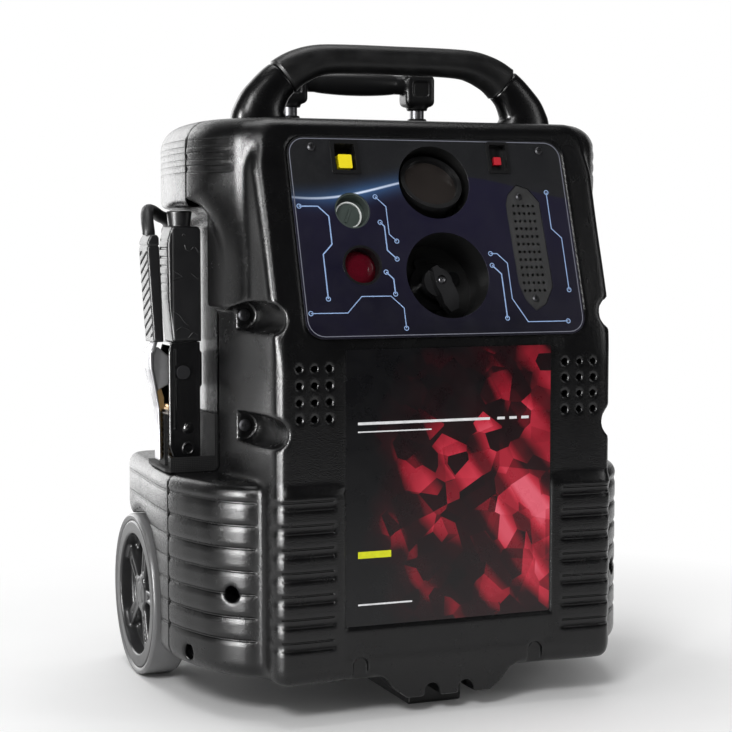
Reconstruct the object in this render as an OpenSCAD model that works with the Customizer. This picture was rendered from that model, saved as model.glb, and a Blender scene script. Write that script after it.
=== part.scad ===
// Wheeled jump starter pack. Millimetres, +Z up, front faces -Y.
// Heights start at the floor; depths start at the front face and are
// shifted back by y_mid so the origin sits under the middle of the pack.

/* [Body] */
// half width of the front pillars
pillar_x = 178; // [150:1:200]
// half width of the rear end of the cheeks
cheek_x = 244; // [220:1:250]
// half width of the upper bulge
bulge_x = 223; // [200:1:240]
// height of the body top
top_z = 578; // [540:1:610]
// height of the underside
base_z = 40; // [25:1:60]
// height of the top of the cheeks
cheek_z = 228; // [200:1:250]
// depth of the joint between front and rear shells
split_y = 145; // [120:1:180]
// depth of the rear wall
rear_y = 350; // [300:1:360]
// wall thickness of both shells
wall = 4; // [3:0.5:6]

/* [Control panel] */
// lean of the control panel from vertical
lean = 18.17; // [10:0.01:25]
// half width of the control panel
panel_w = 147; // [120:1:160]
// half height of the control panel along its slope
panel_h = 101; // [90:1:110]
// thickness of the control panel
panel_t = 2.5; // [2:0.5:4]

/* [Wheels] */
// wheel radius
wheel_r = 85; // [70:1:95]
// depth of the wheel centre
wheel_y = 266; // [240:1:290]
// half distance between the outer wheel faces
wheel_x = 249; // [240:1:255]
// wheel width
wheel_w = 38; // [30:1:45]
// axle radius
axle_r = 6; // [5:0.5:8]

/* [Handles] */
// height of the top of the carry handle
arch_z = 657; // [630:1:680]
// depth of the carry handle
arch_y = 143; // [120:1:160]
// depth of the trolley handle
trolley_y = 258; // [240:1:270]
// half distance between the trolley tubes
trolley_x = 74; // [60:1:90]
// pull-out travel of the trolley handle
trolley_travel = 330; // [200:5:350]

/* [Clamps] */
// depth of the clamp centre plane
clamp_y = 197; // [185:1:210]
// distance of the inner arm from the middle
clamp_x = 196.5; // [194:0.5:200]
// height of the clamp hinge pin
clamp_pin_z = 326; // [315:1:335]

/* [Hidden] */
// what to build: one node, or all of them
y_mid = 173;
panel_cy = 31.5;
panel_cz = 463;
label_cz = 224.5;
// lower end of the trolley tubes, which keep 52 mm in their sleeves when pulled out
tube_z = top_z - trolley_travel - 52;
$fn = 48;

// ---- helpers ----------------------------------------------------------
function mir(p) = concat(p, [for (i = [len(p) - 1:-1:0]) [-p[i][0], p[i][1]]]);
function arc(cx, cy, r, a0, a1, n) =
  [for (i = [0:n]) [cx + r * cos(a0 + (a1 - a0) * i / n), cy + r * sin(a0 + (a1 - a0) * i / n)]];

module at_mid() {
  translate([0, -y_mid, 0]) children();
}
// panel frame: X across, Y up the slope, Z out of the face
module on_panel(u = 0, v = 0, w = 0) {
  at_mid() translate([0, panel_cy, panel_cz]) rotate([90 - lean, 0, 0])
    translate([u, v, w]) children();
}
// extrude a Y-Z profile along X
module along_x(x0, x1) {
  translate([x0, 0, 0]) rotate([90, 0, 90]) linear_extrude(height = x1 - x0) children();
}
// extrude an X-Z profile along Y from y0 back to y1
module along_y(y0, y1) {
  translate([0, y1, 0]) rotate([90, 0, 0]) linear_extrude(height = y1 - y0) children();
}
// tube with its axis along X
module cyl_x(x0, x1, r) {
  translate([x0, 0, 0]) rotate([0, 90, 0]) cylinder(h = x1 - x0, r = r);
}
// cylinder with its axis along Y
module cyl_y(y0, y1, r) {
  translate([0, y0, 0]) rotate([-90, 0, 0]) cylinder(h = y1 - y0, r = r);
}
module rrect(w, h, r) {
  hull() {
    for (sx = [-1, 1], sy = [-1, 1])
      translate([sx * (w / 2 - r), sy * (h / 2 - r)]) circle(r = r, $fn = 32);
  }
}
function unit(v) = v / norm(v);
// side direction of ring i, carried along the path from a start along Y
function carried(d, i) =
  let (s = i > 0 ? carried(d, i - 1) : [0, 1, 0]) unit(s - d[i] * (s * d[i]));
// swept tube: points, half widths across and half depths along Y, n sides.
// before and after are the next points of a longer path that this is a part of.
module sweep(pts, ra, rb, n = 12, before = undef, after = undef) {
  m = len(pts);
  p = concat([before == undef ? pts[0] : before], pts, [after == undef ? pts[m - 1] : after]);
  d = [for (i = [1:m]) unit(p[i + 1] - p[i - 1])];
  rings = [for (i = [0:m - 1]) let (s = carried(d, i), t = cross(d[i], s)) for (j = [0:n - 1])
    pts[i] + s * (rb[min(i, len(rb) - 1)] * cos(360 * j / n))
           + t * (ra[min(i, len(ra) - 1)] * sin(360 * j / n))];
  sides = [for (i = [0:m - 2], j = [0:n - 1]) each [
    [i * n + j, (i + 1) * n + j, i * n + (j + 1) % n],
    [i * n + (j + 1) % n, (i + 1) * n + j, (i + 1) * n + (j + 1) % n]]];
  cap0 = [[for (j = [0:n - 1]) j]];
  cap1 = [[for (j = [n - 1:-1:0]) (m - 1) * n + j]];
  polyhedron(points = rings, faces = concat(cap0, sides, cap1));
}

// ---- shell outlines ----------------------------------------------------
// cheeks and wheel housings, plan view
function cheek_half() = [
  [0, 0], [108, 0], [125, -4], [164, -5], [174, 0], [pillar_x, 9], [pillar_x + 1, 28],
  [197, 40], [212, 56], [223, 74], [231, 95], [238, 118], [cheek_x - 1, split_y],
  [cheek_x, 180], [cheek_x - 2, 230], [cheek_x - 5, 290], [236, 330], [228, 344], [218, rear_y], [0, rear_y]];
// waist between the cheeks and the bulge, plan view
function waist_half() = [
  [0, 0], [125, 0], [164, -2], [174, 3], [pillar_x, 12], [180, 36], [190, split_y],
  [190, 300], [184, 322], [170, 333], [0, 333]];
// lower part of the bulge, front shell only
function step_half() = [
  [0, 0], [164, -2], [174, 3], [pillar_x, 12], [179, 52], [189, 68], [196, 92], [200, 118], [201, split_y],
  [201, split_y + 2], [0, split_y + 2]];
// upper bulge, plan view
function bulge_half() = [
  [0, -2], [164, -2], [174, 20], [178, 60], [192, 76], [206, 96], [215, 114], [bulge_x - 2, 138],
  [bulge_x, 165], [bulge_x - 1, 205], [217, 250], [208, 292], [197, 322], [182, 340], [160, rear_y],
  [0, rear_y]];

module plan(p, g) {
  offset(delta = -g) polygon(mir(p));
}
module lean_cut(g) {
  // everything in front of the leaning face
  translate([0, panel_cy, panel_cz]) rotate([90 - lean, 0, 0])
    translate([-260, -104, 2 - g]) cube([520, 340, 200]);
}
module shell_form(g) {
  difference() {
    union() {
      translate([0, 0, base_z + g]) linear_extrude(height = cheek_z - base_z - 2 * g)
        plan(cheek_half(), g);
      translate([0, 0, base_z + g]) linear_extrude(height = 400 - base_z) plan(waist_half(), g);
      translate([0, 0, 400 + g]) linear_extrude(height = 100) plan(step_half(), g);
      translate([0, 0, 400]) linear_extrude(height = 100) plan(waist_half(), g);
      translate([0, 0, 492 + g]) linear_extrude(height = top_z - 492 - 2 * g) plan(bulge_half(), g);
    }
    lean_cut(g);
    wheel_wells(g);
    // rounded top edges
    for (s = [-1, 1]) translate([s * (bulge_x - 34), 0, top_z - 34 - g])
      difference() {
        translate([s > 0 ? 0 : -60, -10, 0]) cube([60, rear_y + 20, 60]);
        rotate([-90, 0, 0]) translate([0, 0, -20]) cylinder(h = rear_y + 40, r = 34);
      }
    translate([0, rear_y - 30 - g, top_z - 30 - g]) difference() {
      translate([-260, 0, 0]) cube([520, 60, 60]);
      rotate([0, 90, 0]) translate([0, 0, -270]) cylinder(h = 540, r = 30);
    }
  }
}
module wheel_wells(g) {
  for (s = [-1, 1]) {
    x0 = s > 0 ? 207 - g : -260;
    translate([x0, wheel_y, wheel_r]) rotate([0, 90, 0]) cylinder(h = 53 + g, r = wheel_r + 5 + g);
    translate([0, 0, 0]) along_x(x0, x0 + 53 + g)
      polygon([[wheel_y, 0], [400, 0], [400, 172 - g], [336, 172 - g], [300, 160], [wheel_y, 160]]);
    translate([x0, wheel_y - wheel_r - 5 - g, 0]) cube([53 + g, 200, wheel_r]);
  }
}
module half_front() {
  translate([-300, -60, 0]) cube([600, split_y + 60 - 0.05, 800]);
}
module half_rear() {
  translate([-300, split_y + 0.05, 0]) cube([600, 300, 800]);
}
// toe below the front face, X-Z profile
module toe_profile() {
  difference() {
    polygon(mir([[0, 17], [44, 17], [56, 26], [66, 38], [74, base_z + wall - 0.1], [0, base_z + wall - 0.1]]));
    for (s = [-1, 1]) {
      translate([s * 18, 22]) circle(r = 8);
      translate([s * 18, 13]) square([16, 18], center = true);
    }
  }
}
module slot_channels() {
  // half-round screw channels in the pillars, open to the front and side
  for (s = [-1, 1], z = joint_z) translate([s * 178, 0, z]) {
    cyl_y(-20, 96, 14);
    translate([s > 0 ? 0 : -20, -20, -14]) cube([20, 116, 28]);
  }
}
// joint screw heights, and X, Y, Z and turn of the cheek screws
joint_z = [387, 279];
cheek_screws = [[202, 55, 122, 45], [229, 108, 56, 60]];

module front_shell() {
  color([0.06, 0.06, 0.065]) at_mid() difference() {
    union() {
      difference() {
        intersection() {
          shell_form(0);
          half_front();
        }
        intersection() {
          shell_form(wall);
          half_front();
        }
      }
      along_y(0, 34) toe_profile();
      // inner rails of the screw channels
      intersection() {
        shell_form(0);
        for (s = [-1, 1], z = joint_z) translate([s * 178, 0, z]) cyl_y(2, split_y, 18);
      }
    }
    slot_channels();
    for (s = [-1, 1], z = joint_z) translate([s * 178, 0, z]) cyl_y(90, 160, 2.6);
    // round notches in the lower edge beside the toe
    for (s = [-1, 1]) translate([s * 93, 0, 54]) {
      cyl_y(-20, 3, 7.5);
      translate([-7.5, -20, -20]) cube([15, 23, 20]);
    }
    // seat and opening of the control panel, and room for the pieces at its top edge
    translate([0, panel_cy, panel_cz]) rotate([90 - lean, 0, 0]) {
      translate([0, 0, -panel_t + 2]) linear_extrude(height = 20) rrect(2 * panel_w + 1, 2 * panel_h + 1, 18);
      translate([0, 0, -30]) linear_extrude(height = 60) rrect(2 * panel_w - 16, 2 * panel_h - 16, 12);
      for (s = [-1, 1]) translate([s * 122, 90, -12]) cylinder(h = 30, r = 1.9);
      translate([-88.5, 80, -30]) linear_extrude(height = 32) rrect(27, 32, 2);
      translate([75.5, 82, -30]) linear_extrude(height = 32) rrect(23, 32, 2);
      translate([2.3, 55.5, -36]) cylinder(h = 38, r = 40.5);
    }
    // shallow seat of the front label
    translate([-109, -10, label_cz - 133.5]) cube([218, 10.9, 267]);
    // sound holes
    for (s = [-1, 1], i = [0:2], j = [0:3])
      translate([s * (124.3 + 15.3 * i), -20, 340 - 15.9 * j]) rotate([-90, 0, 0])
        cylinder(h = 40, r = 3.4, $fn = 24);
    // rib grooves on the pillars and cheeks
    for (j = [0:6]) translate([0, 0, 211 - 22.2 * j]) {
      for (s = [-1, 1]) {
        translate([s * 148 - 28, -8, -4]) cube([56, 6, 8]);
        translate([s * 212, 78, 0]) rotate([0, 0, s * -26]) translate([s * 14, 0, 0])
          cube([3, 110, 8], center = true);
      }
    }
    // speed grooves on the bulge
    for (s = [-1, 1], z = [554, 541.5, 529]) translate([s * 224, 150, z]) cube([9, 130, 6], center = true);
    // holes of the cheek screws
    for (s = [-1, 1], c = cheek_screws)
      translate([s * c[0], c[1], c[2]]) rotate([0, 0, s * c[3]]) cyl_y(-30, 20, 7);
    // handle sockets
    for (s = [-1, 1]) translate([s * 145, arch_y, top_z - 10]) cylinder(h = 30, r = 9.05);
  }
}

module rear_shell() {
  color([0.10, 0.10, 0.105]) at_mid() difference() {
    union() {
      difference() {
        intersection() {
          shell_form(0);
          half_rear();
        }
        intersection() {
          shell_form(wall);
          half_rear();
        }
      }
      // axle bearings
      for (s = [-1, 1]) translate([s * 197, wheel_y, wheel_r]) rotate([0, 90, 0])
        cylinder(h = 20, r = 15, center = true);
      // trolley tube sockets
      for (s = [-1, 1]) translate([s * trolley_x, trolley_y, tube_z - 10]) {
        cylinder(h = 14, r = 16);
        translate([-5, 12, 0]) cube([10, rear_y - trolley_y - 14, 14]);
      }
    }
    translate([-230, wheel_y, wheel_r]) rotate([0, 90, 0]) cylinder(h = 460, r = axle_r + 0.05);
    for (s = [-1, 1]) translate([s * trolley_x, trolley_y, tube_z - 6.1]) cylinder(h = 480, r = 11.05);
    for (s = [-1, 1], z = [554, 541.5, 529]) translate([s * 224, 240, z]) cube([9, 120, 6], center = true);
    for (s = [-1, 1], j = [0:6])
      translate([s * (cheek_x + 1), 165, 211 - 22.2 * j]) cube([5, 60, 6], center = true);
    // handle sockets
    for (s = [-1, 1]) translate([s * 145, arch_y, top_z - 10]) cylinder(h = 30, r = 9.05);
    // wire holes behind the cable glands
    for (g = gland_places) translate([g[0], 320, g[1]]) cyl_y(0, 20, 4);
  }
}

module keel_pad() {
  color([0.05, 0.05, 0.05]) at_mid() difference() {
    along_x(-28, 28) polygon([[36, 3], [39, 0], [215, 0], [222, 6], [222, 39.8], [36, 39.8]]);
    for (y = [80, 180]) translate([0, y, -1]) cylinder(h = 12, r = 7);
    for (y = [80, 180]) translate([0, y, 2]) cylinder(h = 60, r = 2.5);
  }
}

// ---- carry handle -------------------------------------------------------
// centreline of the arch: X, and height as a share of its rise
arch_half = [[146, 0], [146, 0.09], [143.6, 0.245], [138, 0.4], [131, 0.545], [122, 0.677], [112, 0.792],
  [101, 0.877], [88, 0.946], [72, 0.985], [40, 1], [0, 1]];
arch_rise = arch_z - 14.2 - top_z - 0.1;
arch_pts = [for (i = [-11:11]) let (p = arch_half[11 - abs(i)])
  [(i < 0 ? -1 : 1) * p[0], arch_y, top_z + 0.1 + arch_rise * p[1]]];
arch_ra = [31, 29, 25.5, 22.5, 20.5, 19.3, 18, 17, 15.8, 14.6, 14.2, 14.2];
arch_rb = [20, 19.5, 18.5, 17.5, 16.8, 16.2, 15.8, 15.4, 15, 14.6, 14.4, 14.4];
function both(a) = concat(a, [for (i = [len(a) - 2:-1:0]) a[i]]);

module carry_handle() {
  color([0.07, 0.07, 0.07]) at_mid() {
    sweep([for (i = [4:18]) arch_pts[i]], [for (i = [4:18]) both(arch_ra)[i] - 3],
          [for (i = [4:18]) both(arch_rb)[i] - 3], 20);
    for (s = [0, 1]) mirror([s, 0, 0]) {
      // each leg ends 0.05 mm short of the rubber
      sweep(concat([for (i = [0:4]) arch_pts[i]], [arch_pts[5] + 0.05 * unit(arch_pts[4] - arch_pts[5])]),
            [for (i = [0:5]) arch_ra[i]], [for (i = [0:5]) arch_rb[i]], 20, after = arch_pts[6]);
      translate([145, arch_y, top_z - 8]) cylinder(h = 12, r = 9);
    }
  }
}
grip_i = [for (i = [5:17]) i];
module carry_grip() {
  color([0.04, 0.04, 0.04]) at_mid() difference() {
    sweep([for (i = grip_i) arch_pts[i]], [for (i = grip_i) both(arch_ra)[i]],
          [for (i = grip_i) both(arch_rb)[i]], 20, before = arch_pts[4], after = arch_pts[18]);
    sweep(arch_pts, [for (a = both(arch_ra)) a - 2.95], [for (a = both(arch_rb)) a - 2.95], 20);
  }
}

// ---- trolley handle -------------------------------------------------------
module trolley_grip() {
  color([0.06, 0.06, 0.06]) at_mid() difference() {
    union() {
      for (s = [-1, 1]) translate([s * trolley_x, trolley_y, 605]) linear_extrude(height = 35) rrect(35, 26, 7);
      translate([0, trolley_y, 628]) cyl_x(8 - trolley_x, trolley_x - 8, 10.5);
      translate([0, trolley_y, 629]) rotate([0, 90, 0]) rotate_extrude()
        polygon([[0, -46], [9, -46], [11.8, -36], [13, -20], [13.2, 0], [13, 20], [11.8, 36], [9, 46],
          [0, 46]]);
    }
    for (s = [-1, 1]) translate([s * trolley_x, trolley_y, 604]) cylinder(h = 22, r = 7.8);
    translate([0, trolley_y, 630]) linear_extrude(height = 20) rrect(40.6, 12.6, 6);
  }
}
module trolley_tubes() {
  color([0.30, 0.30, 0.31]) at_mid() for (s = [-1, 1])
    translate([s * trolley_x, trolley_y, tube_z]) difference() {
      cylinder(h = 625 - tube_z, r = 7.75);
      translate([0, 0, -1]) cylinder(h = 627 - tube_z, r = 6.3);
    }
}
module trolley_sleeves() {
  color([0.25, 0.25, 0.26]) at_mid() for (s = [-1, 1])
    translate([s * trolley_x, trolley_y, tube_z - 6]) difference() {
      cylinder(h = top_z - tube_z + 6, r = 11);
      translate([0, 0, 3]) cylinder(h = 500, r = 9.3);
    }
}
module trolley_collars() {
  color([0.06, 0.06, 0.06]) at_mid() for (s = [-1, 1])
    translate([s * trolley_x, trolley_y, top_z + 0.1]) difference() {
      union() {
        linear_extrude(height = 9) rrect(27, 27, 8);
        translate([0, 0, 9]) cylinder(h = 5, r1 = 12, r2 = 10);
        translate([0, 0, -14]) cylinder(h = 14, r = 9.25);
      }
      translate([0, 0, -20]) cylinder(h = 60, r = 7.8);
    }
}
module trolley_button() {
  color([0.12, 0.12, 0.12]) at_mid()
    translate([0, trolley_y, 634]) linear_extrude(height = 11) rrect(40, 12, 5.8);
}

// ---- wheels -----------------------------------------------------------------
module wheel_body(s) {
  translate([s * (wheel_x - wheel_w / 2), wheel_y, wheel_r]) rotate([0, s * 90, 0]) difference() {
    union() {
      rotate_extrude($fn = 96) polygon([[axle_r + 0.08, -16], [15, -16], [15, 9], [19, 9], [19, -2], [58, -2],
        [58, -wheel_w / 2 + 1], [77.9, -wheel_w / 2 + 1], [77.9, wheel_w / 2 - 3], [70, wheel_w / 2 - 0.5],
        [65, wheel_w / 2 - 2], [60, 6], [19, 8], [axle_r + 0.08, 9]]);
    }
    for (i = [0:4]) rotate([0, 0, 90 + 72 * i]) translate([0, 0, -4]) linear_extrude(height = 30)
      polygon([for (q = [[22, 13], [57, 26], [57, -26], [22, -13]]) let (a = 36)
        [q[0] * cos(a) - q[1] * sin(a) * 0.9, q[0] * sin(a) + q[1] * cos(a) * 0.9]]);
  }
}
module tyre_body(s) {
  translate([s * (wheel_x - wheel_w / 2), wheel_y, wheel_r]) rotate([0, s * 90, 0])
    rotate_extrude($fn = 96) polygon([[78, -wheel_w / 2 + 1], [83, -wheel_w / 2], [85, -wheel_w / 2 + 3],
      [85, wheel_w / 2 - 3], [83, wheel_w / 2], [78, wheel_w / 2 - 2]]);
}
module cap_body(s) {
  translate([s * (wheel_x - wheel_w / 2), wheel_y, wheel_r]) rotate([0, s * 90, 0]) difference() {
    rotate_extrude() polygon([[0, 9.1], [15, 9.1], [15, 11], [11, 14], [4, 15], [0, 15]]);
    translate([0, 0, 4]) cylinder(h = 8, r = axle_r + 1);
  }
}
module wheel_left() {
  color([0.55, 0.55, 0.56]) at_mid() wheel_body(-1);
}
module wheel_right() {
  color([0.55, 0.55, 0.56]) at_mid() wheel_body(1);
}
module tyre_left() {
  color([0.2, 0.2, 0.2]) at_mid() tyre_body(-1);
}
module tyre_right() {
  color([0.2, 0.2, 0.2]) at_mid() tyre_body(1);
}
module hub_caps_left() {
  color([0.5, 0.5, 0.5]) at_mid() cap_body(-1);
}
module hub_caps_right() {
  color([0.5, 0.5, 0.5]) at_mid() cap_body(1);
}
module axle() {
  color([0.7, 0.7, 0.72]) at_mid() translate([0, wheel_y, wheel_r]) cyl_x(-240, 240, axle_r);
}

// ---- fasteners -----------------------------------------------------------
module pan_screw(r, h) {
  difference() {
    union() {
      rotate_extrude() polygon([[0, 0], [r, 0], [r, 1], [r * 0.7, 2.4], [0, 3]]);
      translate([0, 0, -h]) cylinder(h = h, r = r * 0.42);
    }
    for (a = [0, 90]) rotate([0, 0, a]) translate([0, 0, 2.6]) cube([r * 1.1, 0.9, 2], center = true);
  }
}

module panel_screws() {
  color([0.15, 0.15, 0.15]) {
    for (s = [-1, 1]) on_panel(s * 122, 90, 2.05) pan_screw(4.2, 10);
    on_panel(93, 41.5, 1.1) pan_screw(3.6, 6);
    on_panel(96, -64, 1.1) pan_screw(3.6, 6);
  }
}
module shell_screws() {
  color([0.3, 0.3, 0.3]) at_mid() {
    for (s = [-1, 1], z = joint_z)
      translate([s * 178, 95.9, z]) rotate([90, 0, 0]) pan_screw(6, 30);
    for (s = [-1, 1], c = cheek_screws)
      translate([s * c[0], c[1], c[2]]) rotate([0, 0, s * c[3]]) translate([0, 14, 0]) rotate([90, 0, 0])
        pan_screw(5.5, 20);
  }
}

// ---- control panel ----------------------------------------------------------
mesh_pts = [[91.4, 54], [104, 50], [115, 36], [117, -52], [107, -70], [95, -77], [85, -66], [79.5, -48],
  [77, 33], [81, 44]];
module control_panel() {
  color([0.07, 0.07, 0.10]) difference() {
    union() {
      on_panel(0, 0, -0.4) linear_extrude(height = 2.4) rrect(2 * panel_w, 2 * panel_h, 18);
      // wells behind the round recesses
      on_panel(4.5, -39.5, -46) cylinder(h = 46, r = 46);
      on_panel(2.3, 55.5, -34) cylinder(h = 34, r = 40);
    }
    on_panel(4.5, -39.5, -44) cylinder(h = 60, r = 43.5);
    on_panel(2.3, 55.5, -32) cylinder(h = 60, r = 37.5);
    on_panel(4.5, -39.5, -50) cylinder(h = 60, r = 8.05);
    on_panel(-87, 26, -30) cylinder(h = 60, r = 18.05);
    on_panel(-83.4, -29, -30) cylinder(h = 60, r = 20.05);
    on_panel(-88.5, 80, -30) linear_extrude(height = 60) rrect(26.1, 31.1, 2);
    on_panel(75.5, 82, -30) linear_extrude(height = 60) rrect(22.1, 31.1, 2);
    on_panel(0, 0, -30) linear_extrude(height = 60) offset(delta = -3) polygon(mesh_pts);
    on_panel(0, 0, 0.6) linear_extrude(height = 60) polygon(mesh_pts);
    for (s = [-1, 1]) on_panel(s * 122, 90, -20) cylinder(h = 60, r = 1.85);
    on_panel(93, 41.5, -20) cylinder(h = 60, r = 1.6);
    on_panel(96, -64, -20) cylinder(h = 60, r = 1.6);
  }
}
module front_label() {
  color([0.30, 0.03, 0.06]) at_mid() translate([0, 0.85, label_cz]) rotate([90, 0, 0])
    linear_extrude(height = 0.6) rrect(216, 265, 2);
}
module grille_plate() {
  color([0.2, 0.2, 0.2]) difference() {
    union() {
      on_panel(0, 0, 0.65) linear_extrude(height = 0.4) offset(delta = -0.3) polygon(mesh_pts);
      on_panel(0, 0, -3) linear_extrude(height = 3.7) offset(delta = -4) polygon(mesh_pts);
    }
    for (i = [0:4], j = [0:11])
      on_panel(86 + 5.4 * i, -56 + 8 * j, -6) cylinder(h = 12, r = 1.5, $fn = 16);
    on_panel(93, 41.5, -20) cylinder(h = 60, r = 1.58);
    on_panel(96, -64, -20) cylinder(h = 60, r = 1.58);
  }
}
module test_bezel() {
  color([0.05, 0.05, 0.05]) on_panel(-88.5, 80, -18) difference() {
    union() {
      linear_extrude(height = 20.4) rrect(26, 31, 2);
      translate([0, 0, 20.05]) linear_extrude(height = 1.6) rrect(29, 34, 2.5);
    }
    translate([0, 0, 3]) linear_extrude(height = 30) rrect(21, 27, 1.5);
  }
}
module test_button() {
  color([0.85, 0.75, 0.03]) on_panel(-88.5, 76, -10.9) {
    linear_extrude(height = 13) rrect(14, 14, 1.2);
    linear_extrude(height = 4) rrect(16, 16, 1.2);
  }
}
module breaker_body() {
  color([0.05, 0.05, 0.05]) on_panel(75.5, 82, -24) difference() {
    union() {
      linear_extrude(height = 26.4) rrect(22, 31, 2);
      translate([0, 0, 26.05]) linear_extrude(height = 1.4) rrect(24, 33, 2.5);
    }
    translate([0, 0, 20]) linear_extrude(height = 30) rrect(18, 27, 1.5);
    translate([0, -2.5, 3]) linear_extrude(height = 30) rrect(8.1, 8.1, 0.8);
  }
}
module breaker_button() {
  color([0.7, 0.05, 0.05]) on_panel(75.5, 79.5, -17.9) linear_extrude(height = 18) rrect(8, 8, 0.8);
}
module voltmeter() {
  color([0.06, 0.06, 0.06]) on_panel(2.3, 52.5, -31.9) difference() {
    translate([0, 0, 9]) rotate([-lean, 0, 0]) difference() {
      union() {
        translate([0, 0, -12]) cylinder(h = 27, r = 30.5);
        translate([0, 0, 13]) cylinder(h = 6, r = 32);
      }
      translate([0, 0, 9]) cylinder(h = 30, r = 27.6);
    }
    translate([-50, -50, -50]) cube([100, 100, 50]);
  }
}
module voltmeter_glass() {
  color([0.12, 0.12, 0.13, 0.6]) on_panel(2.3, 52.5, -31.9)
    translate([0, 0, 9]) rotate([-lean, 0, 0]) translate([0, 0, 12]) cylinder(h = 2, r = 27.5);
}
module charge_socket() {
  color([0.1, 0.1, 0.1]) on_panel(-87, 26, -22) difference() {
    union() {
      difference() {
        cylinder(h = 23, r = 18);
        translate([0, 0, 12]) cylinder(h = 30, r = 16.4);
      }
      translate([-1.5, -2, 10]) cylinder(h = 4.5, r = 12);
      translate([-1.5, -2, 14]) rotate([0, 0, -25]) translate([-1, -8, 0]) cube([2, 16, 1.6]);
    }
    translate([0, 0, -5]) cylinder(h = 10, r = 9);
  }
}
module socket_ring() {
  color([0.85, 0.85, 0.83]) on_panel(-88.5, 24, -9.95) difference() {
    cylinder(h = 4, r = 13.7);
    translate([0, 0, -1]) cylinder(h = 6, r = 12.2);
  }
}
module alarm_body() {
  color([0.06, 0.06, 0.06]) on_panel(-83.4, -29, -26) difference() {
    cylinder(h = 28, r = 20);
    translate([0, 0, 10]) cylinder(h = 30, r = 17.6);
  }
}
module alarm_lens() {
  color([0.55, 0.03, 0.08]) on_panel(-83.4, -29, -15.9) difference() {
    union() {
      cylinder(h = 6, r = 17.5);
      translate([0, 0, 6]) rotate_extrude() polygon([[0, 0], [17.5, 0], [14, 2.6], [8, 4], [0, 4.5]]);
    }
    translate([0, 0, -1]) cylinder(h = 5, r = 15);
  }
}
module selector_base() {
  color([0.05, 0.05, 0.05]) on_panel(4.5, -39.5, -43.9) difference() {
    union() {
      cylinder(h = 6, r = 24);
      cylinder(h = 14, r = 15);
      translate([0, 0, -16]) cylinder(h = 16.2, r = 8);
      for (a = [0, 90, 180, 270]) rotate([0, 0, a + 20]) translate([26, 0, 0]) cylinder(h = 4, r = 7);
    }
    translate([0, 0, -10]) cylinder(h = 40, r = 5.05);
  }
}
// turn of the lever at rest
lever_turn = 24;
module selector_knob() {
  color([0.06, 0.06, 0.06]) on_panel(4.5, -39.5, -29.8) {
    difference() {
      union() {
        cylinder(h = 8, r = 15);
        // the lever slopes down to its tip
        rotate([0, 0, lever_turn]) difference() {
          translate([0, 0, 3]) linear_extrude(height = 14)
            polygon([[-3, 15], [3, 15], [8.5, -3], [9, -22], [5, -32], [-5, -32], [-9, -22], [-8.5, -3]]);
          along_x(-20, 20) polygon([[-13, 17.5], [-35, 9], [-35, 20], [-13, 20]]);
        }
      }
      translate([0, 0, 14.8]) cylinder(h = 10, r = 4.6);
      translate([0, 0, 12]) cylinder(h = 4, r = 1.75);
    }
    translate([0, 0, -19]) cylinder(h = 19.1, r = 5);
  }
}
module selector_screw() {
  color([0.75, 0.75, 0.76]) on_panel(4.5, -39.5, -14.95) pan_screw(4, 2);
}

// ---- clamps -----------------------------------------------------------------
// profiles are drawn for the right side: X outward, Z up.
// The inner arm turns on the pin; the outer arm, which carries the cable, is fixed.
pin_x = clamp_x + 20;
module arm_y(y0, y1) {
  translate([0, clamp_y, 0]) along_y(y0, y1) children();
}
module on_side(s) {
  mirror([s < 0 ? 1 : 0, 0, 0]) children();
}
module pin_hole() {
  translate([pin_x, clamp_y - 25, clamp_pin_z]) rotate([-90, 0, 0]) cylinder(h = 50, r = 4.05);
}
module inner_grip_s(s) {
  on_side(s) {
    difference() {
      arm_y(-18, 18) polygon([[clamp_x, 357], [clamp_x, 470], [clamp_x + 3, 473.5], [clamp_x + 30, 473.5],
        [clamp_x + 33.5, 464], [clamp_x + 35, 455], [clamp_x + 34, 400], [clamp_x + 30, 357]]);
      arm_y(-12.05, 12.05)
        translate([clamp_x + 4, 350]) square([16, 90]);
    }
    // boot round the place where a cable could enter
    translate([clamp_x + 18, clamp_y, 472]) difference() {
      cylinder(h = 17.2, r1 = 11, r2 = 13);
      translate([0, 0, 5]) cylinder(h = 20, r = 7);
    }
  }
}
module outer_grip_s(s) {
  on_side(s) difference() {
    arm_y(-18, 18) polygon([[236, 357], [237.5, 400], [240.2, 462], [242, 465], [249, 465], [252.3, 458],
      [252.6, 448], [249.5, 400], [246.5, 357]]);
    arm_y(-12.05, 12.05) polygon([[239, 350], [240.8, 400], [242.6, 440], [247.6, 440], [246, 400],
      [244.2, 350]]);
  }
}
module inner_jaw_s(s) {
  on_side(s) difference() {
    union() {
      // channel-shaped tang inside the grip
      arm_y(-12, 12) translate([clamp_x + 4.2, 345]) square([2.8, 93]);
      for (y = [-12, 9.5]) arm_y(y, y + 2.5) translate([clamp_x + 4.2, 345]) square([15.3, 93]);
      // wide jaw: back, top, two cheeks and the hump towards the pack
      arm_y(-17, 17) translate([clamp_x + 2, 238]) square([3, 118.5]);
      arm_y(-17, 17) translate([clamp_x + 2, 352.5]) square([23, 4]);
      for (y = [-17, 14.2]) arm_y(y, y + 2.8) polygon([[clamp_x + 2, 238], [clamp_x + 2, 356.5],
        [clamp_x + 32, 356.5], [clamp_x + 35, 346], [clamp_x + 35, 252], [clamp_x + 31, 240],
        [clamp_x + 24, 234], [clamp_x + 7, 234]]);
      arm_y(-8, 8) polygon([[clamp_x + 3, 352], [clamp_x - 3, 345], [clamp_x - 3, 312], [clamp_x + 3, 304]]);
    }
    pin_hole();
  }
}
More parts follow.
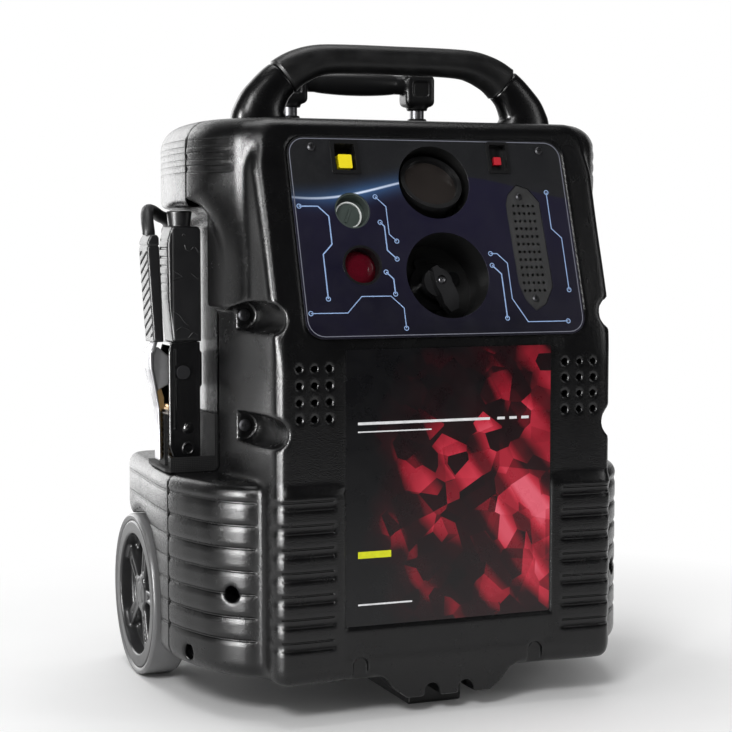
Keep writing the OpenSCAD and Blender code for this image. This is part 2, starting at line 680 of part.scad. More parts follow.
module outer_jaw_s(s) {
  on_side(s) difference() {
    union() {
      arm_y(-9, 9) polygon([[246.8, 438], [245.3, 400], [243.6, 357], [250, 345], [249.5, 330], [245, 310],
        [241, 290], [240.1, 262], [239.9, 236], [237.4, 236], [237.6, 262], [238.3, 290], [242, 310],
        [246.2, 330], [246.5, 343], [239.9, 357], [241.3, 400], [243, 438]]);
      // side plates from the knee in to the pin
      for (y = [-9.3, 6.8]) arm_y(y, y + 2.5)
        polygon([[243.3, 357.4], [249.5, 346], [249, 330], [244.5, 310], [240.5, 292], [232, 296],
          [224, 310], [214, 316.5], [208, 322], [207.5, 330], [211, 336], [222, 341], [234, 348],
          [240, 357.4]]);
    }
    pin_hole();
  }
}
module tooth_row(n, d) {
  for (i = [0:n - 1]) translate([0, i * 5]) polygon([[0, 0], [d, 2.5], [0, 5]]);
}
module inner_teeth_s(s) {
  on_side(s) arm_y(-14.1, 14.1) {
    translate([clamp_x + 27, 239]) square([4.9, 53]);
    translate([clamp_x + 31.8, 240]) tooth_row(10, 3);
  }
}
module outer_teeth_s(s) {
  on_side(s) {
    arm_y(-8.9, 8.9) {
      polygon([[237.3, 238], [237.5, 262], [238.2, 289.5], [236.4, 289.5], [236.4, 238]]);
      translate([236.5, 240]) mirror([1, 0]) tooth_row(9, 1.7);
    }
    // tongue between the side plates
    arm_y(-6.6, 6.6) polygon([[238, 288], [238.1, 290], [241.6, 309.5], [238, 314], [233.8, 300],
      [233.8, 288]]);
  }
}
module pin_s(s) {
  on_side(s) translate([pin_x, clamp_y, clamp_pin_z]) rotate([90, 0, 0]) {
    cylinder(h = 36, r = 4, center = true);
    for (k = [-1, 1]) translate([0, 0, k * 18.3]) cylinder(h = 2.4, r = 7, center = true);
  }
}
// torsion spring: 3.4 turns round the pin, between two legs that push the arms apart above it
wire_r = 0.9;
coil_r = 5.9;
coil_a = [for (i = [0:27]) 200 + 1220 * i / 27];
coil = [for (a = coil_a)
  [pin_x + coil_r * cos(a), clamp_y - 5.6 + 11.2 * (a - 200) / 1220, clamp_pin_z + coil_r * sin(a)]];
coil_gap = min([for (i = [0:21], j = [i + 5:27]) norm(coil[i] - coil[j])]) - 2 * wire_r;
echo(least_gap_between_spring_turns = coil_gap);
module spring_s(s) {
  low = coil[0];
  high = coil[27];
  leg_z = clamp_pin_z + 18.5;
  on_side(s) sweep(concat([[pin_x - 12, low[1] - 0.1, leg_z], [pin_x - 8.6, low[1] - 0.1, leg_z - 10.3]], coil,
    [[high[0] + 3.8, high[1] + 0.1, leg_z - 10.3], [high[0] + 7.5, high[1] + 0.1, leg_z]]),
    [wire_r], [wire_r], 6);
}
module clamp_left_inner_grip() {
  color([0.05, 0.05, 0.05]) at_mid() inner_grip_s(-1);
}
module clamp_left_outer_grip() {
  color([0.5, 0.5, 0.5]) at_mid() outer_grip_s(-1);
}
module clamp_left_inner_jaw() {
  color([0.1, 0.1, 0.1]) at_mid() inner_jaw_s(-1);
}
module clamp_left_outer_jaw() {
  color([0.5, 0.5, 0.5]) at_mid() outer_jaw_s(-1);
}
module clamp_left_inner_teeth() {
  color([0.6, 0.45, 0.25]) at_mid() inner_teeth_s(-1);
}
module clamp_left_outer_teeth() {
  color([0.6, 0.45, 0.25]) at_mid() outer_teeth_s(-1);
}
module clamp_right_inner_grip() {
  color([0.6, 0.04, 0.05]) at_mid() inner_grip_s(1);
}
module clamp_right_outer_grip() {
  color([0.6, 0.04, 0.05]) at_mid() outer_grip_s(1);
}
module clamp_right_inner_jaw() {
  color([0.1, 0.1, 0.1]) at_mid() inner_jaw_s(1);
}
module clamp_right_outer_jaw() {
  color([0.5, 0.5, 0.5]) at_mid() outer_jaw_s(1);
}
module clamp_right_inner_teeth() {
  color([0.6, 0.45, 0.25]) at_mid() inner_teeth_s(1);
}
module clamp_right_outer_teeth() {
  color([0.6, 0.45, 0.25]) at_mid() outer_teeth_s(1);
}

module clamp_pins() {
  color([0.7, 0.7, 0.7]) at_mid() for (s = [-1, 1]) pin_s(s);
}
module clamp_springs() {
  color([0.6, 0.6, 0.6]) at_mid() for (s = [-1, 1]) spring_s(s);
}

// ---- clamp rests and cables ---------------------------------------------------
module clamp_rests() {
  color([0.04, 0.04, 0.04]) at_mid() for (s = [-1, 1]) mirror([s < 0 ? 1 : 0, 0, 0]) {
    difference() {
      translate([180, 150, cheek_z + 0.05]) linear_extrude(height = 3)
        polygon([[10.1, 0], [10.1, 96], [56, 96], [60, 80], [62, 8], [58, 0]]);
      translate([196, clamp_y - 10, cheek_z + 1.6]) cube([30, 20, 5]);
    }
    // tab that the jaws bite when parked
    translate([231.6, clamp_y - 12, cheek_z + 1]) cube([3, 24, 54]);
    translate([190.05, 150, cheek_z + 3.04]) cube([2.4, 96, 54]);
    translate([192.4, 150, cheek_z + 3.04]) cube([46, 3, 12]);
  }
}
// the cables leave the outer grips, pass behind the boots and run along the rear wall.
// The black one is drawn from the left, the red one from the right.
cable_bend = [[246, 199], [246, 199], [245.9, 202], [245.3, 206.5], [243.5, 214], [240.5, 223], [235.5, 232],
  [229, 241], [221, 250], [213, 259], [206.5, 270], [202, 283], [199.3, 296], [197, 309], [192, 322],
  [184, 333], [173, 340], [160, 343], [140, 343], [100, 343], [40, 343], [-20, 343], [-70, 343],
  [-95, 343], [-116, 343]];
black_z = [465.2, 468, 473.5, 479, 485.5, 489.3, 490, 488.3, 484.5, 482, 478.5, 475, 471.5, 468.5, 466,
  463.5, 461, 459, 458.2, 457, 456, 455.5, 455.1, 455, 455];
red_z = [465.2, 468, 473.5, 479, 485.5, 489, 489.4, 487, 482, 476, 469, 461, 453, 445.5, 439, 434.5,
  431.5, 429.6, 428.6, 427, 426, 425.5, 425.1, 425, 425];
black_pts = [for (i = [0:24]) [-cable_bend[i][0], cable_bend[i][1], black_z[i]]];
red_pts = [for (i = [0:24]) [cable_bend[i][0], cable_bend[i][1], red_z[i]]];
module cable_black() {
  color([0.03, 0.03, 0.03]) at_mid() sweep(black_pts, [6.5], [6.5], 12);
}
module cable_red() {
  color([0.6, 0.03, 0.04]) at_mid() sweep(red_pts, [6.5], [6.5], 12);
}
// X and Z of the wire hole of each gland, which its cable enters along X
gland_places = [[120, 455], [-120, 425]];
module cable_glands() {
  color([0.05, 0.05, 0.05]) at_mid() for (g = gland_places) translate([g[0], 0, g[1]])
    mirror([g[0] < 0 ? 1 : 0, 0, 0]) difference() {
      translate([-17, 333.05, -11]) cube([26, 17.85, 22]);
      translate([0, 343, 0]) cyl_x(-20, -3.9, 6.6);
      translate([0, 343, 0]) cyl_x(-5, 4, 4);
      cyl_y(330, 343, 4);
    }
}
// X and cable height of each clip, which is open to the back
clip_places = [[-140, 458.2], [20, 455.6], [20, 425.8], [140, 428.6]];
module cable_clips() {
  color([0.05, 0.05, 0.05]) at_mid() for (c = clip_places) translate([c[0], 0, c[1]]) difference() {
    translate([-7, 333.05, -11]) cube([14, 17.85, 22]);
    translate([0, 343, 0]) cyl_x(-10, 10, 7.1);
    translate([-10, 343, -4.5]) cube([20, 20, 9]);
  }
}

// ---- inside ---------------------------------------------------------------------
module battery_s(s) {
  translate([s > 0 ? 2 : -168, 22, 52]) {
    difference() {
      union() {
        cube([166, 118, 160]);
        translate([3, 3, 160]) cube([160, 112, 7]);
      }
      translate([20, 20, 164]) cube([126, 60, 4]);
    }
    for (x = [24, 142]) translate([x, 98, 160]) {
      translate([-9, -9, 0]) cube([18, 18, 11]);
      cylinder(h = 16, r = 5);
    }
  }
}
module batteries() {
  color([0.2, 0.2, 0.22]) at_mid() for (s = [-1, 1]) battery_s(s);
}
module battery_tray() {
  color([0.35, 0.35, 0.36]) at_mid() difference() {
    translate([-171, 19, base_z + wall + 0.1]) cube([342, 124, 16]);
    translate([-168.5, 21.5, base_z + wall + 2.1]) cube([337, 119, 40]);
  }
}
module link_bars() {
  color([0.72, 0.45, 0.2]) at_mid() {
    translate([-26 - 8, 112, 228.2]) cube([68, 16, 3]);
    for (s = [-1, 1]) translate([s * 144 - 8, 112, 228.2]) difference() {
      cube([16, 16, 120]);
      translate([3, -1, 3]) cube([20, 30, 130]);
      translate([-4, 3, 3]) cube([20, 30, 130]);
    }
  }
}
module control_board() {
  color([0.03, 0.25, 0.1]) at_mid() {
    translate([-80, 112, 410]) cube([160, 1.6, 90]);
    for (x = [-60, -20, 30]) translate([x, 113.65, 430]) cube([22, 14, 30]);
    for (x = [-70, 66]) translate([x, 98, 490]) cube([5, 13.9, 5]);
  }
}

front_shell();
rear_shell();
keel_pad();
carry_handle();
carry_grip();
trolley_grip();
trolley_tubes();
trolley_sleeves();
trolley_collars();
trolley_button();
wheel_left();
wheel_right();
tyre_left();
tyre_right();
hub_caps_left();
hub_caps_right();
axle();
panel_screws();
shell_screws();
control_panel();
front_label();
grille_plate();
test_bezel();
test_button();
breaker_body();
breaker_button();
voltmeter();
voltmeter_glass();
charge_socket();
socket_ring();
alarm_body();
alarm_lens();
selector_base();
selector_knob();
selector_screw();
clamp_left_inner_grip();
clamp_left_outer_grip();
clamp_left_inner_jaw();
clamp_left_outer_jaw();
clamp_left_inner_teeth();
clamp_left_outer_teeth();
clamp_right_inner_grip();
clamp_right_outer_grip();
clamp_right_inner_jaw();
clamp_right_outer_jaw();
clamp_right_inner_teeth();
clamp_right_outer_teeth();
clamp_pins();
clamp_springs();
clamp_rests();
cable_black();
cable_red();
cable_glands();
cable_clips();
batteries();
battery_tray();
link_bars();
control_board();
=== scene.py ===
"""Looks of a wheeled jump starter pack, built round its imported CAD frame."""

import functools
import math

import bmesh
import bpy
import numpy as np
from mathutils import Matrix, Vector


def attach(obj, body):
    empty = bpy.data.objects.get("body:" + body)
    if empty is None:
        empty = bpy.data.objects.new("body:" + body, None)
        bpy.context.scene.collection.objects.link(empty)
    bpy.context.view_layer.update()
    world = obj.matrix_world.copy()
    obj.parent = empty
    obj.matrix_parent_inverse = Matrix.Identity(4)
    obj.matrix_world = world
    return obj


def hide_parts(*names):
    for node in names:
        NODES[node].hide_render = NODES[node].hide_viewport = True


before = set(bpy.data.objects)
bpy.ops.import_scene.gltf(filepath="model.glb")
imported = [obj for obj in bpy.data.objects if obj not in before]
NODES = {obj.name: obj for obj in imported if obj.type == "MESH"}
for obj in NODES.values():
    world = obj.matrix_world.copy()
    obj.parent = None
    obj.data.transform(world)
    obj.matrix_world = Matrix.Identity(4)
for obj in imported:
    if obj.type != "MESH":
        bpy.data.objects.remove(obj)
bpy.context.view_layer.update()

# ---- places -----------------------------------------------------------------
# Shapes are written in millimetres from the floor and the front face; place() turns
# them into the row frame, in metres, with its origin under the middle of the pack.
MID = 173.0
LEAN = math.radians(18.17)  # lean of the control panel
PANEL_Y, PANEL_Z = 31.5, 463.0  # middle of the control panel
PANEL_W, PANEL_H, PANEL_R = 147.0, 101.0, 18.0  # its half width, half height and corner radius
TOP_Z, BASE_Z, CHEEK_Z, SPLIT_Y, REAR_Y = 578.0, 40.0, 228.0, 145.0, 350.0
WHEEL = (249.0, 266.0, 85.0)  # outer face, depth and height of the wheel centre
WHEEL_W = 38.0
WELL_R = 90.0  # radius of the wheel wells
ARCH_Y, TROLLEY_X, TROLLEY_Y = 143.0, 74.0, 258.0
JOINT_Z = (387.0, 279.0)  # heights of the side screw channels
RIB_Z, RIB_STEP, RIBS = 211.0, 22.2, 7  # grooves across pillars and cheeks
RIB_HALF, RIB_DEEP, RIB_END = 4.0, 1.4, 120.0  # half height, depth and inner end of those on the pillars
FLUTES, FLUTE_Y = (554.0, 541.5, 529.0), 82.0  # heights and front ends of the grooves round the bulge
LABEL_Z, LABEL_W, LABEL_H = 224.5, 108.0, 132.5  # middle, half width and half height of the label
LABEL_DEEP, BODY_SLOT_DEEP, VENT_DEEP = 0.8, 4.5, 12.0
VENT_X, VENT_Z, VENT_R = 124.3, 340.0, 3.2  # the innermost vent of the top row
VENT_ACROSS, VENT_DOWN = 15.3, 15.9  # steps of the three columns and four rows of vents
CHANNEL_X, CHANNEL_R, CHANNEL_END = 180.0, 14.5, 95.0  # axis, radius and back end of the side channels
CHEEK_SCREWS = ((202, 55, 122, 45), (229, 108, 56, 60))  # place and turn of the recesses in the cheeks
CHEEK_SCREW_R = 7.6
TOE_SLOT, BODY_SLOT = (18, 22, 8), (93, 54, 7.5)  # across, height and radius of the slots under the front


def place(points):
    """Points in millimetres from the floor and the front face, put into the row frame."""
    p = np.asarray(points, float)
    return (p - [0, MID, 0]) / 1000


def on_panel(u, v, w=0.0):
    """A point given across, up and out of the leaning panel, in the row frame."""
    y = PANEL_Y + v * math.sin(LEAN) - w * math.cos(LEAN)
    z = PANEL_Z + v * math.cos(LEAN) + w * math.sin(LEAN)
    return Vector(place((u, y, z)))


def hand(side):
    return "left" if side < 0 else "right"


def panel_frame(y, z):
    """How far a point lies up the leaning panel and out of it, from the panel's middle."""
    up = (y - PANEL_Y) * math.sin(LEAN) + (z - PANEL_Z) * math.cos(LEAN)
    out = -(y - PANEL_Y) * math.cos(LEAN) + (z - PANEL_Z) * math.sin(LEAN)
    return up, out


# ---- camera -----------------------------------------------------------------
def aimed(name, data, spot, way):
    """A camera or lamp at a spot, looking a given way."""
    made = bpy.data.objects.new(name, data)
    bpy.context.scene.collection.objects.link(made)
    made.location = spot
    made.rotation_mode = "QUATERNION"
    made.rotation_quaternion = Vector(way).to_track_quat("-Z", "Y")
    return made


def camera():
    """The one camera, set to the solved view."""
    data = bpy.data.cameras.new("camera")
    data.lens, data.sensor_width = 87.1, 36.0
    yaw, pitch = math.radians(21.52), math.radians(4.26)
    way = (math.sin(yaw) * math.cos(pitch), math.cos(yaw) * math.cos(pitch), -math.sin(pitch))
    bpy.context.scene.camera = aimed("camera", data, (-0.7006, -1.7267, 0.4657), way)


# ---- materials --------------------------------------------------------------
class Nodes:
    """A node tree. node() adds a node and sets or links its sockets by name or index."""

    def __init__(self, tree):
        self.tree = tree

    def set(self, node, sockets):
        for key, value in sockets.items():
            socket = node.inputs[key]
            if isinstance(value, bpy.types.NodeSocket):
                self.tree.links.new(value, socket)
            else:
                socket.default_value = value
        return node

    def node(self, kind, sockets=None, **props):
        made = self.tree.nodes.new("ShaderNode" + kind)
        for key, value in props.items():
            setattr(made, key, value)
        return self.set(made, sockets or {})

    def math(self, operation, a, b=0.0, c=0.0):
        return self.node("Math", {0: a, 1: b, 2: c}, operation=operation).outputs[0]

    def times(self, a, b):
        return self.math("MULTIPLY", a, b)

    def minus(self, a, b):
        return self.math("SUBTRACT", a, b)

    def larger(self, a, b):
        return self.math("MAXIMUM", a, b)

    def size(self, a):
        return self.math("ABSOLUTE", a)

    def place(self):
        return self.node("TexCoord").outputs["Object"]

    def split(self, vector):
        return self.node("SeparateXYZ", {0: vector}).outputs

    def vector(self, operation, a, b=(0, 0, 0)):
        """A vector operation's result: a number for DOT_PRODUCT and LENGTH, else a vector."""
        outputs = self.node("VectorMath", {0: a, 1: b}, operation=operation).outputs
        return outputs["Value" if operation in ("DOT_PRODUCT", "LENGTH") else 0]

    def noise(self, scale, detail=2.0, rough=0.5, vector=None):
        sockets = {"Vector": vector or self.place(), "Scale": scale, "Detail": detail, "Roughness": rough}
        return self.node("TexNoise", sockets).outputs["Fac"]

    def ramp(self, value, low, high, to_low=0.0, to_high=1.0):
        sockets = {"Value": value, "From Min": low, "From Max": high, "To Min": to_low, "To Max": to_high}
        return self.node("MapRange", sockets).outputs["Result"]

    def mix(self, share, a, b):
        made = self.node("Mix", data_type="RGBA")
        self.set(made, {0: share, 6: a, 7: b})
        return made.outputs[2]

    def bump(self, height, distance, strength=1.0, under=None):
        sockets = {"Height": height, "Distance": distance, "Strength": strength}
        if under is not None:
            sockets["Normal"] = under
        return self.node("Bump", sockets).outputs["Normal"]


class Shader(Nodes):
    """A material with one glossy shader, whose sockets are named with underscores."""

    def __init__(self, name, **sockets):
        self.material = bpy.data.materials.new(name)
        self.material.use_nodes = True
        super().__init__(self.material.node_tree)
        self.bsdf = self.tree.nodes["Principled BSDF"]
        self.finish(**sockets)

    def finish(self, **sockets):
        self.set(self.bsdf, {k.replace("_", " "): v for k, v in sockets.items()})
        return self.material


def toned(colour, factor, lift=0.0):
    """A colour made darker or lighter."""
    return tuple(min(1.0, c * factor + lift) for c in colour[:3]) + (1.0,)


def srgb(r, g, b):
    """A colour as it reads in a picture, 0 to 255, made linear."""
    lin = [c / 255 / 12.92 if c <= 10 else ((c / 255 + 0.055) / 1.055) ** 2.4 for c in (r, g, b)]
    return (*lin, 1.0)


def moulded(name, colour, rough=0.38, grain=0.00012, size=900.0, spread=0.25, specular=0.5, lines=None):
    """Moulded plastic: cloudy colour, uneven gloss and a fine pebbled grain."""
    s = Shader(name, Specular_IOR_Level=specular)
    clouds = s.noise(9.0, 4.0, 0.6)
    dark, light = toned(colour, 1 - spread), toned(colour, 1 + spread, 0.0008)
    pebbles = s.noise(size, 2.0, 0.55)
    scuffs = s.noise(34.0, 6.0, 0.7)
    gloss = s.ramp(scuffs, 0.35, 0.75, rough - 0.03, rough + 0.06)
    under = s.bump(s.noise(40.0, 1.0), 0.0002, 0.06)
    if lines is not None:
        under = s.bump(s.times(lines(s), -1.0), 0.0025, 1.0, under)
    return s.finish(
        Base_Color=s.mix(s.ramp(clouds, 0.3, 0.7), dark, light),
        Roughness=gloss,
        Normal=s.bump(pebbles, grain, 1.0, under),
    )


def shell_lines(s):
    """1 along the fine edges of the flutes and of the rib grooves, 0 elsewhere."""
    x, y, z = s.split(s.place())
    flank = s.ramp(s.size(x), 0.186, 0.192)
    pitch = (FLUTES[0] - FLUTES[1]) / 1000
    turn = s.math("DIVIDE", s.minus(z, FLUTES[1] / 1000), pitch)
    row = s.larger(s.math("MINIMUM", s.math("ROUND", turn), 1.0), -1.0)
    up = s.times(s.minus(turn, row), pitch)
    ahead = s.larger(s.minus((FLUTE_Y - MID) / 1000, y), 0.0)
    reach = s.math("SQRT", s.math("ADD", s.math("POWER", up, 2.0), s.math("POWER", ahead, 2.0)))
    flute = s.ramp(s.size(s.minus(reach, 0.0034)), 0.0011, 0.0004)
    turn = s.math("DIVIDE", s.minus(RIB_Z / 1000, z), RIB_STEP / 1000)
    row = s.larger(s.math("MINIMUM", s.math("ROUND", turn), RIBS - 1.0), 0.0)
    off = s.size(s.times(s.minus(turn, row), RIB_STEP / 1000))
    groove = s.ramp(off, 0.0016, 0.0006)
    on_flank = s.times(s.larger(flute, groove), flank)
    rims = s.ramp(s.size(s.minus(off, 0.0042)), 0.0011, 0.0003)
    across = s.ramp(s.size(s.minus(s.size(x), 0.147)), 0.026, 0.0255)
    in_front = s.ramp(y, (10 - MID) / 1000, (7 - MID) / 1000)
    on_pillar = s.times(s.times(rims, across), in_front)
    return s.larger(on_flank, on_pillar)


def metal(name, colour, rough=0.3, brushed=0.5, dark_below=None):
    """Bare metal with fine scratches and dull patches, darkened by use below a height."""
    s = Shader(name, Metallic=1.0)
    stretch = s.node("Mapping", {"Vector": s.place(), "Scale": (400.0, 400.0, 30.0)}).outputs[0]
    scratches = s.noise(1.0, 4.0, 0.7, stretch)
    patches = s.noise(25.0, 5.0, 0.6)
    paint = s.mix(s.ramp(patches, 0.3, 0.75), colour, toned(colour, 0.6))
    if dark_below is not None:
        height = s.split(s.place())[2]
        clean = s.ramp(height, dark_below - 0.002, dark_below + 0.002)
        paint = s.mix(clean, toned(colour, 0.05), paint)
    return s.finish(
        Base_Color=paint,
        Roughness=s.ramp(patches, 0.3, 0.7, rough - 0.08, rough + 0.14),
        Normal=s.bump(scratches, 0.00004, brushed),
    )


def rubber(name, colour, rough=0.55):
    """Soft grip rubber, duller than the shell, with a fine tooth."""
    s = Shader(name, Specular_IOR_Level=0.4)
    wear = s.noise(40.0, 5.0, 0.65)
    return s.finish(
        Base_Color=s.mix(s.ramp(wear, 0.4, 0.75), colour, toned(colour, 1.5, 0.004)),
        Roughness=s.ramp(wear, 0.3, 0.7, rough - 0.06, rough + 0.1),
        Normal=s.bump(s.noise(1500.0, 2.0), 0.00008),
    )


def grille_paint(name):
    """Black plastic with a fine woven mesh, with painted shade in the mesh's hollows."""
    s = Shader(name, Specular_IOR_Level=0.45)
    part = s.split(s.place())
    waves = [s.math("SINE", s.times(part[axis], 3600.0)) for axis in (0, 2)]
    height = s.times(*waves)
    wear = s.noise(30.0, 4.0, 0.6)
    return s.finish(
        # painted shade: the base colour is darkest in the mesh's hollows and lighter on its raised threads
        Base_Color=s.mix(s.ramp(height, -0.2, 0.7), (0.002, 0.002, 0.002, 1), (0.035, 0.035, 0.036, 1)),
        Roughness=s.ramp(wear, 0.3, 0.7, 0.3, 0.4),
        Normal=s.bump(height, 0.0003, 0.7),
    )


def knurled(name):
    """Black rubber with a fine diamond pattern, with painted shade in its grooves."""
    s = Shader(name, Specular_IOR_Level=0.2)
    part = s.split(s.place())
    along = s.math("ADD", part[0], part[1])
    ways = [s.math(way, along, part[2]) for way in ("ADD", "SUBTRACT")]
    height = s.times(*[s.math("SINE", s.times(way, 1700.0)) for way in ways])
    wear = s.noise(40.0, 5.0, 0.65)
    return s.finish(
        # painted shade: the base colour is darkest in the grooves of the diamond pattern and lighter on its
        # ridges
        Base_Color=s.mix(s.ramp(height, 0.1, 0.9), (0.004, 0.004, 0.0045, 1), (0.03, 0.03, 0.03, 1)),
        Roughness=s.ramp(wear, 0.3, 0.7, 0.50, 0.65),
        Normal=s.bump(height, 0.0003, 0.5),
    )


# ---- distance fields for the moulded shells ------------------------------------
def rmin(a, b, r):
    """Union with a concave fillet of radius r."""
    return np.maximum(np.minimum(a, b), r) - np.hypot(np.maximum(r - a, 0), np.maximum(r - b, 0))


def rmax(a, b, r):
    """Intersection with a convex rounding of radius r."""
    return np.minimum(np.maximum(a, b), -r) + np.hypot(np.maximum(a + r, 0), np.maximum(b + r, 0))


def cut(a, b, r):
    """a without b, its new edges rounded by r."""
    return rmax(a, -b, r)


def both(*fields):
    """Sharp intersection of all fields."""
    return functools.reduce(np.maximum, fields)


def span(value, low, high):
    """Distance outside the stretch from low to high."""
    return np.maximum(low - value, value - high)


def outline_distance(px, py, points):
    """Signed distance to a closed outline, negative inside."""
    best = np.full(np.broadcast(px, py).shape, 1e9)
    sign = np.ones_like(best)
    for (ax, ay), (bx, by) in zip(points, points[-1:] + points[:-1]):
        ex, ey, wx, wy = bx - ax, by - ay, px - ax, py - ay
        share = np.clip((wx * ex + wy * ey) / (ex * ex + ey * ey + 1e-12), 0, 1)
        best = np.minimum(best, (wx - ex * share) ** 2 + (wy - ey * share) ** 2)
        c1, c2, c3 = py >= ay, py < by, ex * wy > ey * wx
        sign = np.where((c1 & c2 & c3) | (~c1 & ~c2 & ~c3), -sign, sign)
    return sign * np.sqrt(best)


def surface_net(field, low, step):
    """Vertices and quads of the zero surface of a sampled distance field."""
    inside = field < 0
    shape = np.array(field.shape) - 1
    corners = [(i, j, k) for i in (0, 1) for j in (0, 1) for k in (0, 1)]
    views = [inside[i : i + shape[0], j : j + shape[1], k : k + shape[2]] for i, j, k in corners]
    some = np.logical_or.reduce(views)
    every = np.logical_and.reduce(views)
    cells = np.argwhere(some & ~every)
    index = np.full(shape, -1, np.int64)
    index[tuple(cells.T)] = np.arange(len(cells))
    total, count = np.zeros((len(cells), 3)), np.zeros(len(cells))
    for a in corners:
        for axis in range(3):
            if a[axis]:
                continue
            b = list(a)
            b[axis] = 1
            da = field[tuple((cells + a).T)]
            db = field[tuple((cells + b).T)]
            hit = (da < 0) != (db < 0)
            share = np.where(hit, da / np.where(da == db, 1, da - db), 0)
            point = np.tile(np.array(a, float), (len(cells), 1))
            point[:, axis] += share
            total += point * hit[:, None]
            count += hit
    vertices = (cells + total / count[:, None]) * step + low
    quads = []
    for axis in range(3):
        u, v = (axis + 1) % 3, (axis + 2) % 3
        near = [slice(None)] * 3
        far = [slice(None)] * 3
        near[axis], far[axis] = slice(0, -1), slice(1, None)
        a, b = inside[tuple(near)], inside[tuple(far)]
        edges = np.argwhere(a != b)
        inner = (edges[:, [u, v]] > 0) & (edges[:, [u, v]] < shape[[u, v]])
        edges = edges[inner.all(1)]
        du, dv = np.eye(3, dtype=int)[u], np.eye(3, dtype=int)[v]
        ring = [index[tuple((edges - o).T)] for o in (0 * du, du, du + dv, dv)]
        ring = np.stack(ring, 1)
        out = a[tuple(edges.T)]
        ring[~out] = ring[~out][:, ::-1]
        quads.append(ring)
    quads = np.concatenate(quads)
    return vertices, quads[(quads >= 0).all(1)]


def field_normals(field, low, step, points):
    """Outward direction of a sampled distance field at each point."""
    at = np.clip((points - low) / step, 1.001, np.array(field.shape) - 2.001)
    base = np.floor(at).astype(int)
    part = at - base

    def sample(shift):
        total = 0
        for corner in [(i, j, k) for i in (0, 1) for j in (0, 1) for k in (0, 1)]:
            spot = np.clip(base + corner + shift, 0, np.array(field.shape) - 1)
            weight = np.prod(np.where(corner, part, 1 - part), axis=1)
            total = total + weight * field[tuple(spot.T)]
        return total

    slope = np.stack([sample(s) - sample(-s) for s in np.eye(3, dtype=int)], 1)
    return slope / np.maximum(np.linalg.norm(slope, axis=1, keepdims=True), 1e-9)


def mesh_piece(name, vertices, faces, material, normals=None, smooth=True):
    """A new mesh object in the row frame."""
    data = bpy.data.meshes.new(name)
    data.from_pydata([tuple(v) for v in vertices], [], [tuple(int(i) for i in f) for f in faces])
    data.validate()
    data.polygons.foreach_set("use_smooth", [smooth] * len(data.polygons))
    if normals is not None:
        data.normals_split_custom_set_from_vertices([tuple(n) for n in normals])
    data.materials.append(material)
    made = bpy.data.objects.new(name, data)
    bpy.context.scene.collection.objects.link(made)
    return made


def field_piece(name, field, low, step, material, keep=None, shade=None, spot=(0, 0, 0), side=1):
    """The surface of a distance field in millimetres as a mesh, moved by spot and mirrored for side -1.

    keep() drops faces by their middle, and shade is the field that the normals follow.
    """
    low = np.array(low, float)
    vertices, quads = surface_net(field, low, step)
    if keep is not None:
        quads = quads[keep(vertices[quads].mean(1))]
        used, renumbered = np.unique(quads, return_inverse=True)
        vertices, quads = vertices[used], renumbered.reshape(quads.shape)
    normals = field_normals(field if shade is None else shade, low, step, vertices)
    flip = (side, 1, 1)
    quads = quads if side > 0 else quads[:, ::-1]
    return mesh_piece(name, place((vertices + spot) * flip), quads, material, normals * flip)


def grid(low, high, step):
    """Three axes of sample points that broadcast against each other."""
    axes = [np.arange(a, b + step, step) for a, b in zip(low, high)]
    return axes[0][:, None, None], axes[1][None, :, None], axes[2][None, None, :]


# ---- the shells' shape ----------------------------------------------------------
# Outlines in plan of half the pack, from the middle side round to it again. The points between the
# first and the last lie on a smooth curve.
CHEEK_PLAN = [
    (-300, 0), (108, 0), (125, -4), (164, -5), (174, 0), (178, 9), (179, 28), (197, 40), (212, 56), (223, 74),
    (231, 95), (238, 118), (243, 145), (244, 180), (242, 230), (239, 290), (236, 330), (228, 344), (218, 350),
    (-300, 350),
]
WAIST_PLAN = [
    (-300, 0), (125, 0), (164, -2), (174, 3), (178, 12), (180, 36), (190, 145), (190, 300), (184, 322),
    (170, 333), (-300, 333),
]
STEP_PLAN = [
    (-300, 0), (164, -2), (174, 3), (178, 12), (179, 52), (189, 68), (196, 92), (200, 118), (201, 147),
    (-300, 147),
]
BULGE_PLAN = [
    (-300, -2), (164, -2), (174, 20), (178, 60), (192, 76), (206, 96), (215, 114), (221, 138), (223, 165),
    (222, 205), (217, 250), (208, 292), (197, 322), (182, 340), (160, 350), (-300, 350),
]
WHEEL_ARCH = [(266, -50), (420, -50), (420, 172), (336, 172), (300, 160), (266, 160)]  # back of a wheel well
TOE = [(-99, 17), (44, 17), (56, 26), (66, 38), (82, 47), (120, 47), (120, 62), (-99, 62)]  # from in front


def ribs(z):
    """Distance from the middle of the nearest rib groove."""
    row = np.clip(np.round((RIB_Z - z) / RIB_STEP), 0, RIBS - 1)
    return z - (RIB_Z - row * RIB_STEP)


def block(plan, x, y, z, low, high, r_low, r_high):
    """A plan outline raised from low to high, with rounded rims."""
    return rmax(rmax(plan_distance(plan, x, y), z - high, r_high), low - z, r_low)


def plan_distance(plan, x, y):
    """Distance to a plan outline, with its curve drawn out."""
    smooth = [tuple(p) for p in curve_through(plan[1:-1], 4)]
    return outline_distance(x[..., 0], y[..., 0], plan[:1] + smooth + plan[-1:])[..., None]


